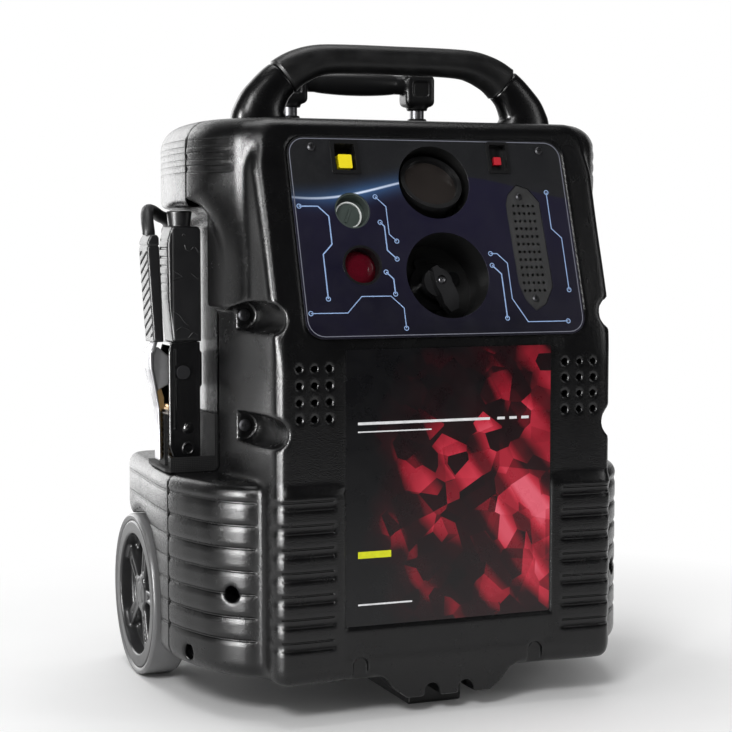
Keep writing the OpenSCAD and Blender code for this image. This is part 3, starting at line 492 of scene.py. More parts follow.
def body(x, y, z, front):
    """The closed outer form of both shells. x is the distance from the middle plane."""
    waist_top, waist_round, bulge_low = (566, 44, 392) if front else (500, 8, 492)
    rib_depth, flute_depth = (1.3, 0.9) if front else (0.5, 0.3)
    cheek = block(CHEEK_PLAN, x, y, z, BASE_Z, CHEEK_Z, 16, 11)
    on_cheek = np.clip((x - 186) / 6, 0, 1) * np.clip((300 - y) / 20, 0, 1)
    cheek = cheek + on_cheek * rib_depth * np.clip(1.5 - np.abs(ribs(z)) / 2.4, 0, 1)
    waist = block(WAIST_PLAN, x, y, z, BASE_Z, waist_top, 8, waist_round)
    side = plan_distance(BULGE_PLAN, x, y)
    if front:  # the bulge draws in to the narrower step without a ledge, except near the joint
        step = plan_distance(STEP_PLAN, x, y)
        near = np.clip((y - 95) / 45, 0, 1)
        share = np.clip((525 - 24 * near - z) / (95 - 84 * near), 0, 1)
        side = side + (step - side) * share * share * (3 - 2 * share)
    bulge = rmax(rmax(side, z - TOP_Z, 26), bulge_low - z, 6)
    flute = np.min([np.abs(z - f) for f in FLUTES], axis=0)
    fade = np.clip((y - 78) / 4, 0, 1) * np.clip((300 - y) / 20, 0, 1) * np.clip((x - 196) / 4, 0, 1)
    bulge = bulge + fade * flute_depth * np.clip(1.6 - flute / 2.2, 0, 1)
    whole = rmin(rmin(cheek, waist, 5), bulge, 5)
    return rmax(whole, panel_frame(y, z)[1] - 2, 11)


def wheel_wells(x, y, z):
    """The room that the wheels stand in, open behind and below."""
    radius = np.hypot(y - WHEEL[1], z - WHEEL[2]) - WELL_R
    behind = outline_distance(y[0], z[0], WHEEL_ARCH)
    below = rmax(WHEEL[1] - WELL_R - y, z - WHEEL[2], 0.5)
    return rmax(np.minimum(np.minimum(radius, behind[None]), below), 207 - x, 3)


def toe(x, y, z):
    """The lip and the two stepped feet under the front."""
    form = outline_distance(x[:, 0], z[0], TOE)[:, None, :]
    form = rmax(rmax(form, -y - 0.5, 2.5), y - 34, 2)
    return cut(form, notch(x, z, *TOE_SLOT), 1.5)


def notch(x, z, cx, cz, r):
    """A round-topped slot that is open below."""
    return np.minimum(np.hypot(x - cx, z - cz) - r, np.maximum(np.abs(x - cx) - r, z - cz))


def front_shell(material):
    """The front half of the casing, with its grooves, channels, vents and seats."""
    step, low, high = 2.4, (-250, -10, 12), (250, 150, 584)
    x, y, z = grid(low, high, step)
    ax = np.abs(x)
    form = body(ax, y, z, True)
    form = rmin(form, toe(ax, y, z), 2)
    form = cut(form, np.maximum(notch(ax, z, *BODY_SLOT), y - BODY_SLOT_DEEP), 0.8)
    groove = rmax(np.abs(ribs(z)) - RIB_HALF, np.maximum(RIB_END - ax, y - 13), 1)
    form = cut(form, rmax(groove, -RIB_DEEP - form, 0.5), 1.6)
    for height in JOINT_Z:
        channel = np.hypot(ax - CHANNEL_X, z - height) - CHANNEL_R
        form = cut(form, rmax(channel, y - CHANNEL_END, 2), 3)
    form = cut(form, wheel_wells(ax, y, z), 4)
    seat = both(ax - LABEL_W - 1, np.abs(z - LABEL_Z) - LABEL_H - 1, y - LABEL_DEEP)
    form = cut(form, seat, 0.4)
    vents = [(VENT_X + VENT_ACROSS * i, VENT_Z - VENT_DOWN * j) for i in range(3) for j in range(4)]
    vent = np.min([np.hypot(ax - across, z - up) for across, up in vents], axis=0) - VENT_R
    form = cut(form, np.maximum(vent, y - VENT_DEEP), 0.3)
    v, w = panel_frame(y, z)
    past_corner = np.maximum(ax - PANEL_W + PANEL_R, 0), np.maximum(np.abs(v) - PANEL_H + PANEL_R, 0)
    opening = np.hypot(*past_corner) - PANEL_R - 0.8
    form = cut(form, np.maximum(opening, -0.6 - w), 0.8)
    form = cut(form, np.maximum(opening + 6, -60 - w), 1)
    for cx, cy, cz, turn in CHEEK_SCREWS:
        a = math.radians(turn)
        across = (ax - cx) * math.cos(a) + (y - cy) * math.sin(a)
        form = cut(form, np.hypot(across, z - cz) - CHEEK_SCREW_R, 1.5)
    whole, form = form, np.maximum(form, y - SPLIT_Y + 0.4)

    def outside(p):
        """Drops the faces inside the pack: the joint plane and the back of the panel opening."""
        joint = (p[:, 1] > SPLIT_Y - 1.2) | (p[:, 1] > SPLIT_Y - 2.5) & (np.abs(p[:, 0]) < 170)
        deep = panel_frame(p[:, 1], p[:, 2])[1] < -22
        opening = deep & (np.abs(p[:, 0]) < 143) & (p[:, 2] > 366) & (p[:, 2] < 562)
        return ~(joint | opening)

    return field_piece("front_shell_skin", form, low, step, material, outside, whole)


def rear_shell(material):
    """The rear half of the casing, with the holes for the trolley's tubes."""
    step, low, high = 3.0, (-252, 138, 30), (252, 357, 585)
    x, y, z = grid(low, high, step)
    ax = np.abs(x)
    form = body(ax, y, z, False)
    form = cut(form, wheel_wells(ax, y, z), 3)
    top = rmax(form, y - REAR_Y, 2)
    for side in (-1, 1):
        hole = np.hypot(x - side * TROLLEY_X, y - TROLLEY_Y) - 9.4
        top = cut(top, np.maximum(hole, 540 - z), 1)
    form = np.maximum(top, SPLIT_Y + 0.4 - y)

    def outside(p):
        """Drops the joint plane and the floor of the tube holes."""
        joint = (p[:, 1] < SPLIT_Y + 1.2) | (p[:, 1] < SPLIT_Y + 2.5) & (np.abs(p[:, 0]) < 170)
        near = np.hypot(np.abs(p[:, 0]) - TROLLEY_X, p[:, 1] - TROLLEY_Y) < 12
        hole = near & (p[:, 2] < 560) & (p[:, 2] > 500)
        return ~(joint | hole)

    return field_piece("rear_shell_skin", form, low, step, material, outside, top)


# ---- light and floor --------------------------------------------------------
ROOM = 0.45  # light from the room itself, against 1 for the white backdrop that the camera sees
DIM_ROOM = 0.025  # what gloss mirrors of the room on the camera's side


def softbox(name, spot, target, size, power, diffuse=True):
    """A rectangular lamp; without diffuse it shows only as a reflection."""
    data = bpy.data.lights.new(name, "AREA")
    data.shape, data.size, data.size_y, data.energy = "RECTANGLE", size[0], size[1], power
    aimed(name, data, spot, Vector(target) - Vector(spot)).visible_diffuse = diffuse


def studio():
    """Six softboxes in a white room."""
    softbox("key", (-1.7, -2.2, 2.3), (0, 0, 0.35), (0.8, 0.8), 46)
    softbox("fill", (2.2, -1.8, 1.2), (0, 0, 0.3), (0.5, 1.2), 10)
    softbox("top", (0, 0.2, 2.7), (0, 0, 0.4), (1.6, 1.2), 26)
    softbox("flank", (-1.01, 2.36, 0.8), (-0.2, 0, 0.3), (0.53, 2.2), 17)
    softbox("behind", (-0.35, 2.5, 0.8), (-0.2, 0, 0.3), (0.84, 2.2), 8)
    softbox("strip", (-2.3, -0.9, 0.6), (0, 0, 0.35), (0.3, 1.7), 150, False)
    world = bpy.data.worlds.new("world")
    bpy.context.scene.world = world
    world.use_nodes = True
    sky = Nodes(world.node_tree)
    path = sky.node("LightPath").outputs
    seen = sky.larger(path["Is Camera Ray"], path["Is Transmission Ray"])
    back = sky.split(sky.node("TexCoord").outputs["Generated"])[1]
    mirrored = sky.ramp(back, 0.45, 0.9, DIM_ROOM, 1.0)  # the studio is darker on the camera's side
    glossy = sky.ramp(path["Is Glossy Ray"], 0.0, 1.0, ROOM, mirrored)
    level = sky.ramp(seen, 0.0, 1.0, glossy, 1.0)
    sky.set(sky.tree.nodes["Background"], {"Color": (1, 1, 1, 1), "Strength": level})


def floor():
    """A pale floor that fades to the white backdrop away from the pack."""
    s = Shader("floor_paint", Roughness=0.7, Specular_IOR_Level=0.2)
    s.finish(Base_Color=s.mix(s.ramp(s.noise(3.0, 4.0), 0.3, 0.7), (0.86, 0.86, 0.86, 1), (0.9, 0.9, 0.9, 1)))
    glow = s.node("Emission", {"Color": (1, 1, 1, 1), "Strength": 1.0})
    spot = s.node("NewGeometry").outputs["Position"]
    share = s.ramp(s.vector("LENGTH", spot), 0.35, 0.8)
    path = s.node("LightPath").outputs
    behind = s.ramp(s.split(spot)[1], -0.1, 0.1)
    mirrored = s.times(behind, path["Is Glossy Ray"])
    shown = s.times(share, s.larger(path["Is Camera Ray"], mirrored))
    blend = s.node("MixShader", {0: shown, 1: s.bsdf.outputs[0], 2: glow.outputs[0]})
    s.set(s.tree.nodes["Material Output"], {"Surface": blend.outputs[0]})
    half = 1.4
    corners = [(-half, -half, 0), (half, -half, 0), (half, half, 0), (-half, half, 0)]
    plane = mesh_piece("floor", corners, [(0, 1, 2, 3)], s.material)


# ---- smaller moulded pieces -------------------------------------------------------
def curve_through(points, per_span=6):
    """Points of a smooth curve through the given ones (Catmull-Rom)."""
    p = np.asarray(points, float)
    p = np.vstack([2 * p[0] - p[1], p, 2 * p[-1] - p[-2]])
    t = np.linspace(0, 1, per_span, endpoint=False)[:, None]
    made = []
    for a, b, c, d in zip(p, p[1:], p[2:], p[3:]):
        square, cube = 2 * a - 5 * b + 4 * c - d, 3 * b - a - 3 * c + d
        made.append(0.5 * (2 * b + (c - a) * t + square * t**2 + cube * t**3))
    return np.vstack(made + [p[-2:-1]])


# The carry handle from a foot to its middle: place across and share of the rise, then half widths.
ARCH = [
    (146, 0), (146, 0.09), (143.6, 0.245), (138, 0.4), (131, 0.545), (122, 0.677), (112, 0.792), (101, 0.877),
    (88, 0.946), (72, 0.985), (40, 1), (0, 1),
]
ARCH_RISE = 64.7
ARCH_ACROSS = (31, 29, 25.5, 22.5, 20.5, 19.3, 18, 17, 15.8, 14.6, 14.2, 14.2)
ARCH_DEEP = (20, 19.5, 18.5, 17.5, 16.8, 16.2, 15.8, 15.4, 15, 14.6, 14.4, 14.4)


def arch_rings(first, last, grow=0.0, per_span=5):
    """Centres and half widths along the carry handle, from foot to foot, between two outline points."""
    half = [
        (-x, ARCH_Y, TOP_Z + 0.1 + ARCH_RISE * rise, a, d)
        for (x, rise), a, d in zip(ARCH, ARCH_ACROSS, ARCH_DEEP)
    ]
    full = half + [(-x, y, z, a, d) for x, y, z, a, d in half[-2::-1]]
    row = curve_through(full[first : last + 1], per_span)
    row[:, 3:] += grow
    return row


def loft(name, rows, material, sides=40, power=2.3, ease=1.5):
    """A skin over rings of centre, width across the path and depth along Y; ease rounds its ends over."""
    centres, across, deep = rows[:, :3], rows[:, 3], rows[:, 4]
    direction = np.gradient(centres, axis=0)
    direction /= np.linalg.norm(direction, axis=1, keepdims=True)
    side = np.cross(direction, (0, 1, 0))
    side /= np.linalg.norm(side, axis=1, keepdims=True)
    turn = np.linspace(0, 2 * math.pi, sides, endpoint=False)
    c = np.sign(np.cos(turn)) * np.abs(np.cos(turn)) ** (2 / power)
    d = np.sign(np.sin(turn)) * np.abs(np.sin(turn)) ** (2 / power)
    rings = [
        centres[i] + np.outer(c * across[i], side[i]) + np.outer(d * deep[i], (0, 1, 0))
        for i in range(len(rows))
    ]
    for end, inward in ((0, ease), (-1, -ease)):
        tip = centres[end] + (rings[end] - centres[end]) * (1 - ease / across[end])
        rings[end] = rings[end] + direction[end] * inward
        rings.insert(0 if end == 0 else len(rings), tip)
    verts = np.vstack(rings)
    count = len(rings)
    faces = [
        (i * sides + j, i * sides + (j + 1) % sides, (i + 1) * sides + (j + 1) % sides, (i + 1) * sides + j)
        for i in range(count - 1)
        for j in range(sides)
    ]
    faces += [tuple(range(sides))[::-1], tuple((count - 1) * sides + j for j in range(sides))]
    made = mesh_piece(name, place(verts), faces, material)
    tidy_normals(made)
    return made


def tidy_normals(obj, angle=40):
    """Faces outward and edges sharper than angle shown as edges."""
    b = bmesh.new()
    b.from_mesh(obj.data)
    bmesh.ops.recalc_face_normals(b, faces=b.faces)
    b.to_mesh(obj.data)
    b.free()
    obj.data.set_sharp_from_angle(angle=math.radians(angle))


def carry_handle():
    """Two plastic legs and the rubber grip between them."""
    legs = []
    for k, (first, last) in enumerate(((0, 5), (17, 22))):
        legs.append(loft(f"carry_leg_{k}", arch_rings(first, last, -0.6), DARK_SHELL))
        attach(legs[-1], "pack")
    grip = loft("carry_rubber", arch_rings(5, 17, 0.5), RUBBER, ease=2.2)
    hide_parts("carry_handle")
    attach(grip, "pack")
    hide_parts("carry_grip")


def trolley_grip():
    """The bar between two corner blocks, with a well for the release button."""
    step, low, high = 1.3, (-98, 240, 600), (98, 276, 648)
    x, y, z = grid(low, high, step)
    ax = np.abs(x)
    dy = y - TROLLEY_Y
    corner = rmax(rmax(span(ax, TROLLEY_X - 17, TROLLEY_X + 17), np.abs(dy) - 13, 5), span(z, 605, 640), 6)
    foot = rmax(np.hypot(ax - TROLLEY_X, dy) - 11.5, span(z, 601, 612), 1.5)
    bar = np.hypot(dy, z - 628.5) - (10.3 + 2.8 * np.cos(np.clip(ax / 46, 0, 1) * math.pi / 2) ** 0.7)
    bar = np.maximum(bar, ax - 62)
    form = rmin(rmin(corner, foot, 2), bar, 3)
    pad = rmax(span(ax, TROLLEY_X - 9, TROLLEY_X + 9), span(z, 616, 632), 3)  # sunk faces of the blocks
    form = cut(form, np.maximum(pad, dy + 11.6), 0.8)
    well = rmax(ax - 21.2, np.abs(dy) - 7.0, 6)
    form = cut(form, np.maximum(well, 627.5 - z), 0.8)
    hole = np.hypot(ax - TROLLEY_X, dy) - 7.8
    form = cut(form, np.maximum(hole, z - 620), 0.5)
    made = field_piece("trolley_grip_skin", form, low, step, DARK)
    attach(made, "trolley")
    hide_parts("trolley_grip")


def wheel(side):
    """Five-spoke wheel; side is -1 for the left one."""
    step = 1.4
    low, high = (-20, -80, -80), (20, 80, 80)
    a, p, q = grid(low, high, step)
    r = np.hypot(p, q)
    rim = rmax(span(r, 63.5, 77.9), span(a, -18, 17.6), 1.5)
    ledge = rmax(span(r, 58, 65), span(a, -10, 3), 1.5)
    hub = rmax(r - 18.5, span(a, -16, 11.5), 2)
    hub = cut(hub, rmax(span(r, 11.4, 13.4), 9.6 - a, 0.3), 0.4)
    hub = cut(hub, rmax(r - 3.2, 10.2 - a, 0.3), 0.4)
    form = rmin(rim, ledge, 2)
    for k in range(5):
        turn = math.pi + k * 2 * math.pi / 5
        along = p * math.cos(turn) + q * math.sin(turn)
        across = -p * math.sin(turn) + q * math.cos(turn)
        width = 5.6 + 0.055 * np.clip(along, 0, 66)
        bar = rmax(np.abs(across) - width, span(a, -7, 10.5), 1.6)
        spoke = rmax(bar, np.maximum(-along, along - 66), 0.5)
        gully = rmax(np.abs(across) - 2.4, 8.6 - a, 1.0)
        spoke = cut(spoke, np.maximum(gully, span(along, 26, 52)), 0.8)
        form = rmin(form, spoke, 3.5)
    form = rmin(form, hub, 3)
    form = cut(form, np.maximum(r - 6.1, a - 8), 0.3)
    name = hand(side)
    spot = (WHEEL[0] - WHEEL_W / 2, WHEEL[1], WHEEL[2])
    made = field_piece(f"{name}_wheel_rim", form, low, step, GREY, spot=spot, side=side)
    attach(made, f"{name}_wheel")
    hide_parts(f"wheel_{name}", f"hub_caps_{name}")


# ---- clamps and their cables --------------------------------------------------------
CLAMP_Y, CLAMP_X, TIP_Z = 197.0, 196.5, 473.5  # middle plane, inner face and upper end of a clamp
# Outlines in a clamp's side view: place out from its inner face, height.
INNER_GRIP = [(0, 357), (0, 470), (3, TIP_Z), (30, TIP_Z), (33.5, 464), (35, 455), (34, 400), (30, 357)]
OUTER_GRIP = [
    (39.5, 357), (41, 400), (43.7, 462), (45.5, 465), (52.5, 465), (55.8, 458), (56.1, 448),
    (53, 400), (50, 357),
]
JAW_SIDE = [(2, 238), (2, 356.5), (32, 356.5), (35, 346), (35, 252), (31, 240), (24, 234), (7, 234)]
JAW_HUMP = [(3, 352), (-3, 345), (-3, 312), (3, 304)]
WEB = [
    (50.3, 438), (48.8, 400), (47.1, 357), (53.5, 345), (53, 330), (48.5, 310), (44.5, 290), (43.6, 262),
    (43.4, 236), (40.9, 236), (41.1, 262), (41.8, 290), (45.5, 310), (49.7, 330), (50, 343), (43.4, 357),
    (44.8, 400), (46.5, 438),
]
PIN = (20, 326)
KNEE = [
    (53.5, 346), (53, 329), (47, 306), (PIN[0], PIN[1] - 6), (PIN[0] - 5, PIN[1]),
    (PIN[0], PIN[1] + 6), (44, 352),
]
CREASES = [  # worn folds in the soft front of a grip, as places across and up it
    [(13, 464), (15, 466), (17, 464.5)], [(16, 455), (18, 450), (23, 449.5), (28, 453), (33, 447)],
    [(2, 429), (8, 426), (13, 423)], [(24, 426), (31, 421), (33, 421)], [(1, 419), (6, 421), (12, 422)],
    [(2, 388), (9, 384), (15, 377), (20, 374)], [(5, 368), (12, 372), (21, 369)],
    [(20, 361), (26, 366), (31, 364)],
]
CABLE_RADIUS = 6.5
CABLE_BEND = [  # a cable's route in plan, from the handle round the back to its gland
    (246, 199), (246, 199), (245.9, 202), (245.3, 206.5), (243.5, 214), (240.5, 223), (235.5, 232), (229, 241),
    (221, 250), (213, 259), (206.5, 270), (202, 283), (199.3, 296), (197, 309), (192, 322), (184, 333),
    (173, 340), (160, 343), (140, 343), (100, 343), (40, 343), (-20, 343), (-70, 343), (-95, 343), (-116, 343),
]
CABLE_Z = {  # its heights at the same points, left and right
    -1: (
        465.2, 468, 473.5, 479, 485.5, 489.3, 490, 488.3, 484.5, 482, 478.5, 475, 471.5, 468.5, 466,
        463.5, 461,
        459, 458.2, 457, 456, 455.5, 455.1, 455, 455,
    ),
    1: (
        465.2, 468, 473.5, 479, 485.5, 489, 489.4, 487, 482, 476, 469, 461, 453, 445.5, 439, 434.5,
        431.5, 429.6,
        428.6, 427, 426, 425.5, 425.1, 425, 425,
    ),
}


def tube(name, row, radius, material):
    """A round cable or bead along points in the row frame, as one open spline."""
    data = bpy.data.curves.new(name, "CURVE")
    data.dimensions, data.bevel_depth, data.bevel_resolution, data.use_fill_caps = "3D", radius, 6, True
    spline = data.splines.new("POLY")
    spline.points.add(len(row) - 1)
    spline.points.foreach_set("co", np.column_stack([row, np.ones(len(row))]).ravel())
    spline.use_smooth = True
    data.materials.append(material)
    made = bpy.data.objects.new(name, data)
    bpy.context.scene.collection.objects.link(made)
    return made


def cable(name, side, material):
    """A clamp's cable, from its gland round the back to the handle that it is fixed in."""
    route = [(side * x, y, z) for (x, y), z in zip(CABLE_BEND, CABLE_Z[side])][::-1]
    row = place(curve_through(route, 5))
    made = tube(f"clamp_{name}", row, CABLE_RADIUS / 1000, material)
    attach(made, "pack")
    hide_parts(name)


def flat(a, z, outline):
    """Distance to an outline drawn in the clamp's side view."""
    return outline_distance(a[:, 0], z[0], outline)[:, None, :]


# The forms below take a out from a clamp's inner face, b back from its middle plane, and the height z.
def inner_grip(a, b, z):
    """The grooved handle of the arm that moves, with its cable boot."""
    form = rmax(flat(a, z, INNER_GRIP), np.abs(b) - 18, 3)
    pitch = 8.9
    row = np.abs((z - 362) / pitch - np.round((z - 362) / pitch)) * pitch
    form = cut(form, both(row - 1.0, span(b, -11, 14), 33.4 - a), 0.5)
    form = cut(form, np.maximum(np.hypot(row, b + 14.2) - 1.1, 31.5 - a), 0.3)
    form = cut(form, both(np.abs(a - 30.4) - 0.7, b + 17.0, span(z, 360, 468)), 0.4)
    cone = np.hypot(a - 18, b) - (11 + 2 * (z - 472) / 17.2)
    form = rmin(form, rmax(cone, span(z, 470, 489.2), 1.5), 0.5)
    return cut(form, np.maximum(np.hypot(a - 18, b) - 7, 477 - z), 1.2)


def outer_grip(a, b, z):
    """The fixed arm's handle, with slanting grooves."""
    form = rmax(flat(a, z, OUTER_GRIP), np.abs(b) - 18, 2.5)
    pitch = 9.2
    lean = (z + 0.45 * b) / pitch
    groove = np.abs(lean - np.round(lean)) * pitch - 1.0
    middle = (a - 47.5) - (z - 357) * 0.06
    form = cut(form, both(groove, span(b, -15.5, 15.5), span(z, 362, 448), 1 - middle), 0.4)
    return cut(form, np.maximum(span(z, 453.2, 454.6), -1.2 - form), 0.3)


def inner_jaw(a, b, z):
    """A pressed channel round the pin, with its hump, bushes and screw heads."""
    side = flat(a, z, JAW_SIDE)
    cheeks = rmax(side, span(np.abs(b), 14.2, 17.1), 0.8)
    back = rmax(rmax(side, a - 5, 0.6), np.abs(b) - 17, 0.8)
    top = rmax(rmax(side, span(z, 352.5, 357), 0.6), np.abs(b) - 17, 0.8)
    hump = rmax(flat(a, z, JAW_HUMP), np.abs(b) - 8, 1.5)
    form = rmin(np.minimum(cheeks, top), back, 0.8)
    form = rmin(form, hump, 1)
    for middle in (32.6, 28.6):
        rib = np.hypot(a - middle, np.abs(b) - 17) - 1.2
        form = rmin(form, rmax(rib, span(z, 250 + 4 * (33 - middle), 350), 1), 0.6)
    front = rmax(np.hypot(a - 15, z - 248) - 6.4, span(np.abs(b), 14.5, 18.4), 0.6)
    front = cut(front, np.maximum(np.hypot(a - 15, z - 248) - 4.6, 17.4 - np.abs(b)), 0.3)
    screw = np.hypot(np.hypot(a - 15, z - 269), np.abs(b) - 14) - 6.0
    form = rmin(rmin(form, front, 0.6), np.maximum(screw, 14.3 - np.abs(b)), 0.6)
    return cut(form, np.hypot(a - PIN[0], z - PIN[1]) - 4.2, 0.3)


def outer_jaw(a, b, z):
    """The curved strip of the fixed arm, with two plates that reach to the pin."""
    wider = 4 * np.clip((z - 300) / 30, 0, 1) * np.clip((356 - z) / 8, 0, 1)
    web = rmax(flat(a, z, WEB), np.abs(b) - 9.2 - wider, 0.8)
    plates = rmax(flat(a, z, KNEE), span(np.abs(b), 6.8, 9.3), 0.6)
    form = rmin(web, plates, 0.6)
    return cut(form, np.hypot(a - PIN[0], z - PIN[1]) - 4.2, 0.3)


def clamp(side, grip_paint):
    """A parked clamp; side is -1 for the left one, and grip_paint is the material of its grips."""
    name, arm = ("left", "left_clamp_arm") if side < 0 else ("right", "right_clamp_arm")
    step = 1.0
    pieces = (
        ("inner_grip", inner_grip, (-5, -23, 350), (40, 23, 494), grip_paint, arm),
        ("outer_grip", outer_grip, (34, -22, 352), (61, 22, 470), grip_paint, "pack"),
        ("inner_jaw", inner_jaw, (-8, -22, 229), (40, 22, 361), JAW_BLACK, arm),
        ("outer_jaw", outer_jaw, (8, -18, 231), (58, 18, 443), JAW_GREY, "pack"),
    )
    for what, form, low, high, paint, body in pieces:
        field = form(*grid(low, high, step))
        spot = (CLAMP_X, CLAMP_Y, 0)
        made = field_piece(f"{name}_{what}_skin", field, low, step, paint, spot=spot, side=side)
        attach(made, body)
        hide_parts(f"clamp_{name}_{what}")
    for k, route in enumerate(CREASES):
        line = [(side * (CLAMP_X + 31 - a * 0.86), CLAMP_Y - 17.95, z) for a, z in route]
        fold = tube(f"{name}_fold_{k}", place(curve_through(line, 5)), 0.0008, grip_paint)
        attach(fold, arm)


def soften(names, material, width=0.5, segments=2, angle=32):
    """Gives CAD nodes their material and small rounded edges."""
    for name in [names] if isinstance(names, str) else names:
        node = NODES[name]
        node.data.materials.clear()
        node.data.materials.append(material)
        if "custom_normal" in node.data.attributes:
            node.data.attributes.remove(node.data.attributes["custom_normal"])
        node.data.polygons.foreach_set("use_smooth", [True] * len(node.data.polygons))
        weld = node.modifiers.new("weld", "WELD")
        weld.merge_threshold = 0.00001
        bevel = node.modifiers.new("bevel", "BEVEL")
        bevel.width, bevel.segments, bevel.limit_method = width / 1000, segments, "ANGLE"
        bevel.angle_limit = math.radians(angle)
        bevel.use_clamp_overlap = True
        bevel.miter_outer = "MITER_ARC"
        shade = node.modifiers.new("shade", "WEIGHTED_NORMAL")
        shade.keep_sharp = True


# ---- printed panel and label ---------------------------------------------------------
def panel_paint():
    """Two-tone print on the panel's face with a glowing edge, and bare plastic in its wells."""
    s = Shader("panel_print", Specular_IOR_Level=0.35)
    at = s.vector("SUBTRACT", s.place(), on_panel(0, 0))
    u = s.split(at)[0]
    v = s.vector("DOT_PRODUCT", at, (0, math.sin(LEAN), math.cos(LEAN)))
    w = s.vector("DOT_PRODUCT", at, (0, -math.cos(LEAN), math.sin(LEAN)))
    wave = s.times(s.math("SINE", s.math("MULTIPLY_ADD", u, 21.0, 1.1)), 0.012)
    edge = s.minus(v, s.math("ADD", wave, 0.050))
    upper = s.ramp(edge, -0.0004, 0.0004)
    grains = s.noise(2600.0, 2.0, 0.6)
    grey = s.mix(s.ramp(grains, 0.35, 0.7), srgb(12, 12, 14), srgb(38, 39, 42))
    depth = s.ramp(v, -0.1, 0.06)
    clouds = s.ramp(s.noise(14.0, 4.0, 0.6), 0.3, 0.7)
    navy = s.mix(depth, srgb(9, 8, 22), srgb(19, 17, 40))
    navy = s.mix(s.times(clouds, 0.35), navy, srgb(30, 25, 50))
    far = s.size(edge)
    envelope = s.ramp(s.size(s.math("ADD", u, 0.075)), 0.10, 0.0)
    core = s.times(s.ramp(far, 0.0016, 0.0003), envelope)
    halo = s.times(s.math("POWER", s.ramp(far, 0.022, 0.0), 3.0), envelope)
    face = s.mix(upper, navy, grey)
    face = s.mix(s.times(halo, 0.8), face, srgb(60, 100, 150))
    face = s.mix(core, face, srgb(215, 228, 250))
    printed = s.ramp(w, 0.0008, 0.0014)
    colour = s.mix(printed, (0.008, 0.008, 0.008, 1), face)
    return s.finish(
        Base_Color=colour,
        Roughness=s.ramp(s.noise(45.0, 5.0, 0.7), 0.3, 0.7, 0.30, 0.42),
        Normal=s.bump(grains, 0.00003, 1.0, s.bump(s.noise(11.0, 2.0), 0.0004, 0.25)),
    )


def label_paint():
    """Black ground with crimson facets that gather at the lower right, crossed by faint bands."""
    s = Shader("label_print", Specular_IOR_Level=0.4)
    spot = s.place()
    facets = s.node("TexVoronoi", {"Vector": spot, "Scale": 46.0, "Randomness": 1.0})
    shards = s.node("TexVoronoi", {"Vector": spot, "Scale": 21.0, "Randomness": 0.9})
    tint = s.split(facets.outputs["Color"])[0]
    broad = s.split(shards.outputs["Color"])[1]
    away = s.vector("LENGTH", s.vector("SUBTRACT", spot, (0.075, -0.173, 0.21)))
    patch = s.ramp(s.math("ADD", away, s.ramp(s.noise(11.0, 3.0), 0.3, 0.7, -0.04, 0.04)), 0.17, 0.03)
    band_at = s.node("Mapping", {"Vector": spot, "Rotation": (0, math.radians(38), 0)}).outputs[0]
    wave = s.node("TexWave", {"Vector": band_at, "Scale": 7.0, "Distortion": 2.5, "Detail": 1.0})
    heat = s.times(patch, s.math("MULTIPLY_ADD", tint, 0.75, s.times(broad, 0.45)))
    heat = s.times(heat, s.ramp(wave.outputs["Fac"], 0.1, 0.8, 0.55, 1.15))
    ramp = s.node("ValToRGB", {0: heat})
    stops = ramp.color_ramp.elements
    stops[0].color, stops[1].color = srgb(3, 3, 6), srgb(228, 100, 118)
    for place_at, colour in ((0.24, srgb(34, 2, 8)), (0.46, srgb(140, 14, 34)), (0.72, srgb(196, 44, 64))):
        stop = stops.new(place_at)
        stop.color = colour
    return s.finish(
        Base_Color=ramp.outputs[0],
        Roughness=s.ramp(s.noise(30.0, 5.0, 0.7), 0.3, 0.7, 0.24, 0.34),
        Normal=s.bump(s.noise(22.0, 2.0), 0.0005, 0.2),
    )


def ink(name, colour):
    """Screen-printed ink with a slightly uneven edge gloss."""
    s = Shader(name, Specular_IOR_Level=0.3)
    blotch = s.ramp(s.noise(160.0, 4.0, 0.6), 0.3, 0.7)
    tint = s.mix(blotch, toned(colour, 0.82), colour)
    return s.finish(Base_Color=tint, Roughness=s.ramp(blotch, 0.0, 1.0, 0.36, 0.46))


def strip(name, route, width, material, to_world, thick=0.15, closed=False):
    """A thin printed line along a flat route; to_world(a, b, out) gives its points in the row frame."""
    points, count = np.array(route, float), len(route)
    ahead = np.roll(points, -1, 0) - points
    ahead /= np.linalg.norm(ahead, axis=1, keepdims=True)
    if not closed:
        ahead[-1] = ahead[-2]
    behind = np.roll(ahead, 1, 0)
    if not closed:
        behind[0] = ahead[0]
    mean = ahead + behind
    mean /= np.linalg.norm(mean, axis=1, keepdims=True)
    reach = width / 2 / np.maximum(0.4, (mean * ahead).sum(1))
    side = np.column_stack([-mean[:, 1], mean[:, 0]]) * reach[:, None]
    sides = (points + side, points - side)
    verts = [to_world(a, b, out) for out in (0.0, thick) for row in sides for a, b in row]
    faces = []
    for i in range(count if closed else count - 1):
        j = (i + 1) % count
        low = i, j, j + count, i + count
        high = [k + 2 * count for k in low]
        faces += [tuple(high), low[::-1]]
        faces += [(low[0], low[1], high[1], high[0]), (low[3], high[3], high[2], low[2])]
    if not closed:
        last = count - 1
        faces += [(0, 2 * count, 3 * count, count), (last, last + count, last + 3 * count, last + 2 * count)]
    made = mesh_piece(name, verts, faces, material, smooth=False)
    tidy_normals(made, 20)
    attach(made, "pack")


def arc(cx, cy, r, degrees):
    """Points round a centre, at each of the given angles."""
    return [(cx + r * math.cos(math.radians(t)), cy + r * math.sin(math.radians(t))) for t in degrees]


